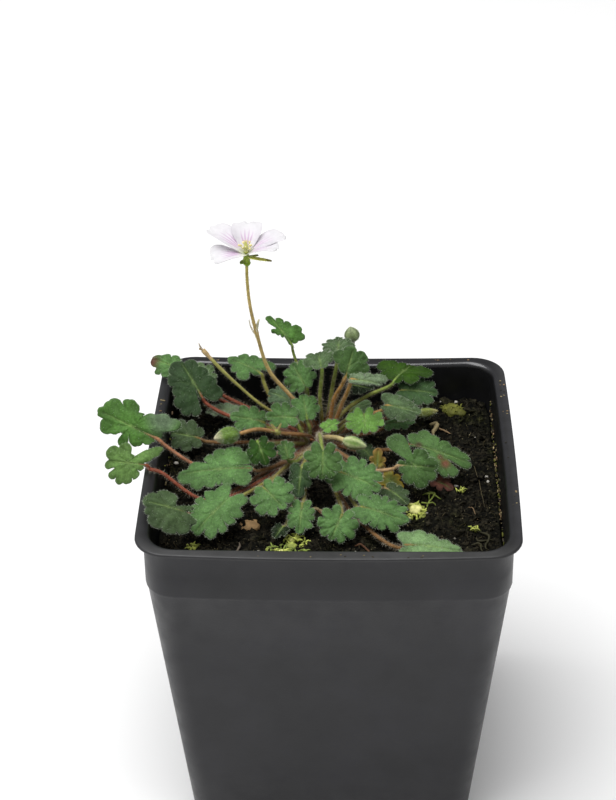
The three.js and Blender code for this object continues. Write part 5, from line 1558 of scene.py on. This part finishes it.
def lump(skin, at, size, tone, seed, squash=0.6, rings=9, sides=14):
    """A small uneven lump such as a clod, a bit of bark or moss."""
    tilts = math.pi * np.arange(1, rings) / rings
    turns = 2 * math.pi * np.arange(sides) / sides
    ball = np.array([[(math.sin(a) * math.cos(b), math.sin(a) * math.sin(b), -math.cos(a)) for b in turns]
                     for a in tilts])
    flat = ball.reshape(-1, 3)
    large, small = LUMP_ROUGH
    swell = 1 + large * value_noise(flat * 3 + seed, 1.6, seed) + small * value_noise(flat * 3, 0.7, seed + 1)
    points = flat * swell[:, None] * np.array(size) * (1, 1, squash)
    shades = tone * (1 + LUMP_SHADE * value_noise(points, 0.8, seed + 2))[:, None]
    deep = np.array([0, 0, size[2] * squash])
    capped(skin, list((points + np.asarray(at)).reshape(rings - 1, sides, 3)), at - deep, at + deep,
           np.clip(shades, 0, 1).reshape(rings - 1, sides, 3))


LEAFLET_LONG = (0.8, 2.0)
LEAFLET_BOW = (0.2, 0.7)
LEAFLET_RADII = (0.16, 0.25, 0.18, 0.05)
LEAFLET_SHADES = (0.6, 1.25)


def moss(skin, x, y, wide, deep, leaves, tone, seed):
    """A cushion of moss: short pointed leaflets that curl up from the soil."""
    draws = np.random.default_rng(seed)
    for _ in range(leaves):
        turn, out = draws.uniform(0, 2 * math.pi), draws.uniform(0, 1) ** 0.5
        foot = on_soil(x + wide * out * math.cos(turn), y + deep * out * math.sin(turn), 0.1)
        lean = draws.uniform(0, 2 * math.pi)
        long = draws.uniform(*LEAFLET_LONG) * (1.2 - 0.5 * out)
        out_way = np.array([math.cos(lean), math.sin(lean), 0])
        bow = draws.uniform(*LEAFLET_BOW)
        path = [foot, foot + 0.5 * long * (0.3 * out_way + (0, 0, 1)),
                foot + long * (bow * out_way + (0, 0, 0.75)),
                foot + long * ((bow + 0.4) * out_way + (0, 0, 0.7))]
        tube(skin, path, LEAFLET_RADII, tone * draws.uniform(*LEAFLET_SHADES), 5)


STRAND_STEPS = 14
STRAND_ABOVE = 0.3
STRAND_CURL = 0.16
STRAND_ARCH = 0.4
# A strand's thickness at places along it
STRAND_PLACES = (0, 0.2, 0.8, 1)
STRAND_THICKNESSES = (0.5, 1, 0.8, 0.3)


def strand(skin, start, end, thick, tone, turns):
    """A dry strand that lies on the soil from one place to another, curled to the side and upward."""
    start, end = np.array(start, float), np.array(end, float)
    long = np.linalg.norm(end - start)
    aside = np.array([start[1] - end[1], end[0] - start[0]]) / max(long, 0.1)
    shares = np.linspace(0, 1, STRAND_STEPS)
    path = []
    for share in shares:
        curl = STRAND_CURL * long * turns * math.sin(2 * math.pi * share * 0.8)
        here = start + share * (end - start) + aside * curl
        height = STRAND_ABOVE + 0.4 * thick + STRAND_ARCH * abs(turns) * math.sin(math.pi * share)
        path.append(on_soil(here[0], here[1], height))
    swell = np.interp(shares, STRAND_PLACES, STRAND_THICKNESSES)
    tube(skin, path, thick * swell, tone, 6)


BRIGHT_MOSS = colour(164, 172, 84)
DULL_MOSS = colour(110, 124, 58)
OLIVE_LUMP = colour(104, 106, 44)
TAN = colour(150, 124, 92)
BARK = colour(168, 136, 94)
PALE_STRAW = colour(168, 152, 112)
DARK_STRAND = colour(50, 48, 30)
BROWN_STRAND = colour(84, 56, 36)
GREY_TWIG = colour(104, 94, 82)
GREEN_STRAND = colour(118, 132, 58)
PERLITE = colour(176, 172, 162)
DARK_CLOD = colour(44, 40, 32)
PALE_MOSS = colour(212, 210, 136)
GREEN_MOSS = colour(152, 162, 80)

# Cushions of moss: the middle, half the width and depth, how many leaflets, and the colour, times this
MOSS_LIGHT = 1.25
MOSSES = (
    (-11.4, -27.8, 3.2, 2.6, 50, DULL_MOSS),
    (-7.2, -28.8, 2.4, 1.2, 20, DULL_MOSS),
    (-11.2, -29.2, 2.0, 1.4, 40, BRIGHT_MOSS),
    (-8.8, -24.0, 2.3, 2.0, 36, BRIGHT_MOSS),
    (-6.0, -25.4, 1.2, 1.2, 12, BRIGHT_MOSS),
    (20.9, -12.6, 2.2, 3.0, 80, BRIGHT_MOSS),
    (-32.6, -27.2, 1.2, 1.0, 16, BRIGHT_MOSS),
    (34.7, -18.8, 0.9, 0.8, 10, BRIGHT_MOSS),
    (32.2, -3.0, 1.0, 0.9, 12, BRIGHT_MOSS),
    (31.3, 34.8, 2.6, 2.6, 50, OLIVE_LUMP),
)

# Lumps: the middle, the size each way, and the colour
LUMPS = (
    (20.9, -12.8, (1.6, 1.7, 1.9), PALE_MOSS),
    (20.0, -10.6, (1.0, 0.9, 1.2), PALE_MOSS),
    (22.3, -14.2, (0.9, 0.9, 1.0), GREEN_MOSS),
    (-11.8, -28.6, (1.5, 1.1, 1.3), PALE_MOSS),
    (-9.0, -26.0, (1.3, 1.0, 1.4), GREEN_MOSS),
    (-14.2, -28.2, (1.0, 0.8, 0.9), GREEN_MOSS),
    (-10.0, -29.2, (1.0, 0.8, 1.1), PALE_MOSS),
    (-8.8, -24.2, (0.9, 0.7, 1.1), PALE_MOSS),
    (-6.4, -28.4, (0.8, 0.6, 0.8), GREEN_MOSS),
    (31.3, 34.8, (2.6, 3.0, 1.8), OLIVE_LUMP),
    (33.4, 33.4, (1.4, 1.6, 1.4), OLIVE_LUMP * 0.7),
    (-19.4, -17.0, (2.7, 2.3, 1.8), BARK),
    (1.0, -30.1, (0.9, 0.6, 0.5), TAN),
    (29.1, 39.6, (0.8, 0.6, 0.5), PERLITE),
    (32.5, 39.4, (0.6, 0.5, 0.5), PERLITE),
    (34.7, 38.6, (0.7, 0.5, 0.5), PERLITE),
    (38.8, 4.2, (0.5, 0.5, 0.4), PERLITE),
    (39.0, 1.5, (0.4, 0.5, 0.4), PERLITE),
    (31.0, -0.6, (0.6, 0.4, 0.4), PERLITE),
    (-39.4, 8.9, (0.6, 0.6, 0.5), PERLITE),
)

# Strands: from where to where, how thick, the colour, and how much they curl
STRANDS = (
    ((22.6, -5.2), (25.8, -9.8), 0.24, GREEN_STRAND, 2.6),
    ((24.2, -7.4), (26.6, -5.8), 0.2, GREEN_STRAND, 2.4),
    ((22.8, -8.2), (24.8, -10.6), 0.2, GREEN_STRAND, -2.6),
    ((23.6, -4.8), (25.4, -6.6), 0.18, GREEN_MOSS, -2.2),
    ((25.3, 27.4), (27.2, 22.6), 0.66, PALE_STRAW, 1.4),
    ((26.6, 25.4), (30.6, 24.0), 0.26, TAN, 0.4),
    ((36.0, -20.0), (38.6, -26.5), 0.34, DARK_STRAND, 1.2),
    ((35.0, -22.4), (38.8, -23.6), 0.3, DARK_STRAND, -1.0),
    ((33.8, -25.0), (37.2, -28.6), 0.3, DARK_STRAND, 1.4),
    ((35.6, 8.0), (38.0, -9.0), 0.09, PALE_STRAW * 0.26, 0.1),
    ((33.6, -9.0), (36.4, -14.0), 0.14, TAN * 0.6, 0.3),
    ((6.1, -26.8), (10.9, -29.2), 0.3, BROWN_STRAND, 0.8),
    ((-21.6, -24.2), (-22.4, -31.0), 0.3, GREY_TWIG, 0.5),
    ((-5.6, -11.2), (5.2, -13.6), 0.5, BROWN_STRAND * 1.5, 0.2),
    ((-4.6, -10.6), (-1.2, -10.4), 0.5, PALE_STRAW, 0.4),
    ((14.0, -24.0), (19.4, -29.4), 0.18, GREY_TWIG * 0.7, 0.7),
    ((28.4, 8.0), (33.4, 12.6), 0.18, GREY_TWIG * 0.7, 0.8),
    ((-31.0, -16.0), (-35.6, -21.4), 0.2, BROWN_STRAND, 0.8),
    ((28.0, -32.6), (33.8, -34.0), 0.2, TAN * 0.7, 0.7),
    ((-14.0, -34.0), (-6.0, -35.4), 0.2, BROWN_STRAND, 0.6),
    ((17.0, 2.0), (21.6, 5.6), 0.2, BROWN_STRAND, 0.9),
)


# Specks on the rim's top: from x to x, from y to y, and how many
RIM_SPECKS = ((26, 36, 42.8, 43.8, 12), (43, 44.3, 24, 34, 12), (-44.2, -43, 4, 24, 18),
              (-34, -20, 42.6, 43.6, 8), (43, 44.5, -28, 18, 10), (-24, 24, -45.2, -44, 10))
SPECK_Z = 90.02
SPECK_SIZES = (0.1, 0.32)

# Old soil and algae on the pot's inner side: the side's x, from y to y, from z to z, and how many bits
RESIDUES = ((41.2, -17, 34, 79.5, 86.5, 90), (-41.0, -4, 22, 80, 88, 40), (41.4, -30, 36, 79.5, 81, 60))
# How far a bit stands out from the wall, how small the least is, and how much wider and taller it may be
RESIDUE_OUT = 0.22
RESIDUE_LEAST = 0.12
RESIDUE_MORE = (0.7, 0.8)


def bit(skin, at, size, tone, draws):
    """A bit of dirt, as a lump with few faces."""
    lump(skin, np.array(at), size, tone, int(draws.integers(900)), 1.0, 5, 7)


def residue(skin):
    """Flat bits of old soil and algae that cling to the pot's inner side."""
    draws = np.random.default_rng(SEED + 60)
    for x, front, back, low, high, number in RESIDUES:
        for _ in range(number):
            place = (x, draws.uniform(front, back), low + (high - low) * draws.uniform(0, 1) ** 2.2)
            grown = draws.uniform(0, 1) ** 2
            wide, tall = (RESIDUE_LEAST + more * grown * draws.uniform(0.4, 1) for more in RESIDUE_MORE)
            tone = (TAN, PALE_STRAW, OLIVE_LUMP, DARK_CLOD * 3)[draws.integers(4)] * draws.uniform(0.3, 1.0)
            bit(skin, place, (RESIDUE_OUT, wide, tall), tone, draws)
    for left, right, front, back, number in RIM_SPECKS:
        for _ in range(number):
            place = (draws.uniform(left, right), draws.uniform(front, back), SPECK_Z)
            size = draws.uniform(*SPECK_SIZES)
            tone = (TAN, PALE_STRAW, DARK_CLOD * 2)[draws.integers(3)] * draws.uniform(0.5, 1.0)
            bit(skin, place, (size, size * 0.7, size * 0.5), tone, draws)


def litter(skin):
    """Moss, lumps, twigs and strands that lie on the soil."""
    residue(skin)
    for number, (x, y, wide, deep, leaves, tone) in enumerate(MOSSES):
        moss(skin, x, y, wide, deep, leaves, tone * MOSS_LIGHT, SEED + number)
    for number, (x, y, size, tone) in enumerate(LUMPS):
        lump(skin, on_soil(x, y, 0.25 * size[2]), size, tone, SEED + 20 + number)
    for start, end, thick, tone, turns in STRANDS:
        strand(skin, start, end, thick, tone, turns)


# The crown's profile, as heights and radii, its tones over and under the soil, and its papery scales
CROWN_PROFILE = ((73, 0.6), (74, 2.8), (76.5, 3.6), (79, 4.2), (81, 3.9), (82.6, 3.5), (84, 3.0), (85.2, 2.2),
                 (86, 1.4), (86.8, 0.5))
CROWN_TONE = colour(84, 54, 38)
BURIED_TONE = colour(48, 36, 30)
SCALES = 16
SCALE_TONES = (colour(158, 132, 96), colour(134, 90, 58), colour(134, 90, 58))


def crown(skin):
    """The woody crown and the papery scales between the petioles' feet."""
    tones = np.stack([CROWN_TONE if z > 80 else BURIED_TONE for z, _ in CROWN_PROFILE])
    turned_shape(skin, (CROWN[0], CROWN[1], 0), (0, 0, 1), CROWN_PROFILE, tones, 18, 0.4)
    draws = np.random.default_rng(SEED)
    for i in range(SCALES):
        turn = 360 / SCALES * i + draws.uniform(-8, 8)
        out = draws.uniform(1.6, 3.0)
        at = (CROWN[0] + out * math.cos(math.radians(turn)), CROWN[1] + out * math.sin(math.radians(turn)),
              draws.uniform(82.6, 84.6))
        sliver(skin, at, turn, draws.uniform(30, 62), draws.uniform(2.2, 3.6), draws.uniform(1.2, 1.9),
               SCALE_TONES[i % 3], 0.15, 0.3)


# How thickly hairs stand, to a square millimetre where the fur is 1
LEAF_HAIRS = 34.0
STEM_HAIRS = 6.0
BUD_HAIRS = 7.0
# How far crumbs and fibres lean from upright at most, in radians
CRUMB_LEAN = 0.9
FIBRE_LEAN = 1.5


def put_leaves(tree, hair, leaf_hair):
    """The green and the old leaves, and the hairs of the green ones."""
    leaf_skin = living_finish("leaf", 0.55, 0.07)
    old_skin = toned_finish("old_leaf", 0.75, 0.5, 0.15)
    everything = Skin()
    for number, (name, leaf) in enumerate(LEAVES.items()):
        look, fuzz = LEAF_LOOKS[leaf["look"]]
        # The leaf's tone times its factor, partly its own tone and partly painted shade
        shaded = look * LEAF_TONES_AND_PAINTED_SHADE.get(name, 1)
        made = blade({**leaf, "stains": STAINS.get(name, ())}, shaded, fuzz, number)
        skin = Skin(down=0.05 * fuzz)
        skin.add(*made)
        everything.add(*made)
        put_piece(name + "_blade", skin.mesh(name, leaf_skin), [name])
    for number, (name, leaf) in enumerate(OLD_LEAVES.items()):
        skin = Skin()
        skin.add(*blade(leaf, leaf["face"], 0.4, 60 + number))
        put_piece(name + "_blade", skin.mesh(name, old_skin), [name])
    source = everything.mesh("leaf_hair_source", leaf_hair)
    hairs = strewn("leaf_hairs", tree, source, hair, LEAF_HAIRS, (0.7, 0.7, 0.22), (1, 1, 0.6), 0.7, SEED,
                   leaf_hair)
    put_piece("leaf_hairs", hairs)


def put_stems(tree, hair):
    """Every petiole and stalk with the crown they grow from, and their hairs."""
    stems = Skin()
    for leaf in [*LEAVES.values(), *OLD_LEAVES.values()]:
        if leaf["stem"]:
            petiole(stems, leaf)
    flower_stalk(stems)
    spent_stalk(stems)
    for given in BUDS.values():
        bud_stalk(stems, given)
    crown(stems)
    stem_mesh = stems.mesh("stems", living_finish("stem", 0.5, 0.1))
    put_piece("stems", stem_mesh, ["crown_and_stems"])
    hairs = strewn("stem_hairs", tree, stem_mesh, hair, STEM_HAIRS, (0.7, 0.7, 0.4), (1, 1, 1.1), 0.5,
                   SEED + 1, hair_finish("stem_hair", colour(200, 190, 168)))
    put_piece("stem_hairs", hairs)


def put_buds(tree, hair, leaf_hair):
    """The four buds and their hairs."""
    bud_skin = living_finish("bud", 0.55, 0.1)
    buds = Skin()
    for name, given in BUDS.items():
        skin = Skin()
        bud(skin, given)
        bud(buds, given)
        put_piece(name + "_egg", skin.mesh(name, bud_skin), [name])
    hairs = strewn("bud_hairs", tree, buds.mesh("bud_hair_source", bud_skin), hair, BUD_HAIRS,
                   (0.6, 0.6, 0.3), (1, 1, 0.8), 0.6, SEED + 2, leaf_hair)
    put_piece("bud_hairs", hairs)


def put_flower(litter_skin):
    """The five petals, and the pistil with the stamens."""
    petals = Skin()
    for given in PETALS:
        petal(petals, given)
    put_piece("petals", petals.mesh("petals", petal_finish()), ["flower_petals"])
    centre = Skin()
    flower_centre(centre)
    put_piece("flower_middle", centre.mesh("flower_middle", litter_skin), ["flower_centre"])


def put_soil(tree, litter_skin):
    """The soil, the bits strewn over it, and the litter."""
    soil = soil_mesh(peat_finish("peat", colour(3, 3, 2), colour(28, 27, 20), 1.5, 0.85))
    put_piece("soil_bed", soil, ["soil"])
    bits = peat_finish("peat_bits", colour(3, 3, 2), colour(58, 54, 42), 1.2, 0.8)
    fibre = peat_finish("peat_fibre", colour(24, 21, 15), colour(92, 82, 60), 4.0, 0.8)
    white_bits = peat_finish("perlite", colour(120, 116, 106), colour(186, 182, 172), 1.5, 0.8)
    tan_bits = peat_finish("tan_bits", colour(48, 44, 30), colour(150, 140, 108), 2.0, 0.8)
    strewings = (
        # name, how rough a crumb is, number to a square millimetre, smallest, largest, finish, seed
        ("clods", 0.4, 0.08, (0.6,) * 3, (1.7, 1.3, 1.0), bits, 10),
        ("crumbs", 0.4, 0.6, (0.3,) * 3, (0.8, 0.7, 0.5), bits, 11),
        ("fine_crumbs", 0.3, 0.9, (0.12,) * 3, (0.3, 0.3, 0.25), bits, 12),
        ("perlite", 0.3, 0.012, (0.12,) * 3, (0.45, 0.45, 0.4), white_bits, 13),
        ("specks", 0.3, 0.3, (0.08,) * 3, (0.26, 0.2, 0.16), tan_bits, 15),
    )
    for name, rough, number, small, large, finish, seed in strewings:
        shape = crumb_shape(name + "_shape", seed, rough)
        strewing = strewn(name, tree, soil, shape, number, small, large, CRUMB_LEAN, seed, finish)
        put_piece(name, strewing)
    fibres = strewn("fibres", tree, soil, fibre_shape(), 0.22, (0.6, 0.6, 0.8), (1.2, 1.2, 3.4),
                    FIBRE_LEAN, 14, fibre)
    put_piece("fibres", fibres)
    loose = Skin()
    litter(loose)
    put_piece("litter", loose.mesh("litter", litter_skin))


def build():
    """Puts every piece in place."""
    tree = strewing_tree()
    hair = hair_shape()
    leaf_hair = hair_finish("leaf_hair", colour(196, 208, 184))
    litter_skin = toned_finish("litter", 0.7, 0.45, 0.15)
    put_leaves(tree, hair, leaf_hair)
    put_stems(tree, hair)
    put_buds(tree, hair, leaf_hair)
    put_flower(litter_skin)
    put_piece("pot_shell", pot_mesh(pot_finish()), ["pot"])
    put_soil(tree, litter_skin)


FLOOR_REACH = 6.0
FLOOR_WHITE = 0.92
FLOOR_UNDER = 0.0003
SKY = 0.36
LAMPS_AIM = (0, 0, 0.09)

# Each lamp: where it stands and how wide it is, in metres, and its power
LAMPS = {
    "top_light": ((-0.35, -0.1, 1.5), 1.3, 27.0),
    "side_light": ((0.9, -0.5, 0.8), 0.7, 1.5),
}


def studio():
    """A pale floor and soft pale light."""
    scene = bpy.context.scene
    white, _, shader = plain_finish("floor", Roughness=0.9, Specular_IOR_Level=0.1)
    shader.inputs["Base Color"].default_value = (FLOOR_WHITE, FLOOR_WHITE, FLOOR_WHITE, 1)
    plane = bpy.data.meshes.new("floor")
    corners = [(-FLOOR_REACH, -FLOOR_REACH, 0), (FLOOR_REACH, -FLOOR_REACH, 0), (FLOOR_REACH, FLOOR_REACH, 0),
               (-FLOOR_REACH, FLOOR_REACH, 0)]
    plane.from_pydata(corners, [], [(0, 1, 2, 3)])
    plane.materials.append(white)
    floor = bpy.data.objects.new("floor", plane)
    floor.location = (0, 0, -FLOOR_UNDER)
    scene.collection.objects.link(floor)
    world = bpy.data.worlds.new("studio")
    world.use_nodes = True
    sky = world.node_tree.nodes["Background"].inputs
    sky["Color"].default_value = (1, 1, 1, 1)
    sky["Strength"].default_value = SKY
    scene.world = world
    for name, (at, size, power) in LAMPS.items():
        lamp = bpy.data.lights.new(name, "AREA")
        lamp.size = size
        lamp.energy = power
        source = bpy.data.objects.new(name, lamp)
        source.location = at
        source.rotation_euler = (Vector(LAMPS_AIM) - Vector(at)).to_track_quat("-Z", "Y").to_euler()
        scene.collection.objects.link(source)
    scene.view_settings.view_transform = "Standard"


def camera():
    """The camera that was fitted to the picture."""
    level = math.cos(CAMERA_RISE)
    back = Vector((math.sin(CAMERA_TURN) * level, -math.cos(CAMERA_TURN) * level, math.sin(CAMERA_RISE)))
    right = Vector((math.cos(CAMERA_TURN), math.sin(CAMERA_TURN), 0))
    up = back.cross(right)
    own_right = math.cos(CAMERA_ROLL) * right + math.sin(CAMERA_ROLL) * up
    own_up = -math.sin(CAMERA_ROLL) * right + math.cos(CAMERA_ROLL) * up
    beside = (AIM_PIXEL[0] - PICTURE_WIDE / 2) / FOCAL_PIXELS * AIM_DISTANCE
    below = (AIM_PIXEL[1] - PICTURE_HIGH / 2) / FOCAL_PIXELS * AIM_DISTANCE
    eye = (Vector(AIM) + back * AIM_DISTANCE - own_right * beside + own_up * below) * MM
    lens = bpy.data.cameras.new("camera")
    lens.sensor_width = SENSOR
    lens.lens = FOCAL_PIXELS * SENSOR / PICTURE_HIGH
    lens.clip_start = 0.01
    viewer = bpy.data.objects.new("camera", lens)
    viewer.matrix_world = Matrix.Translation(eye) @ Matrix((own_right, own_up, back)).transposed().to_4x4()
    bpy.context.scene.collection.objects.link(viewer)
    bpy.context.scene.camera = viewer


build()
studio()
camera()
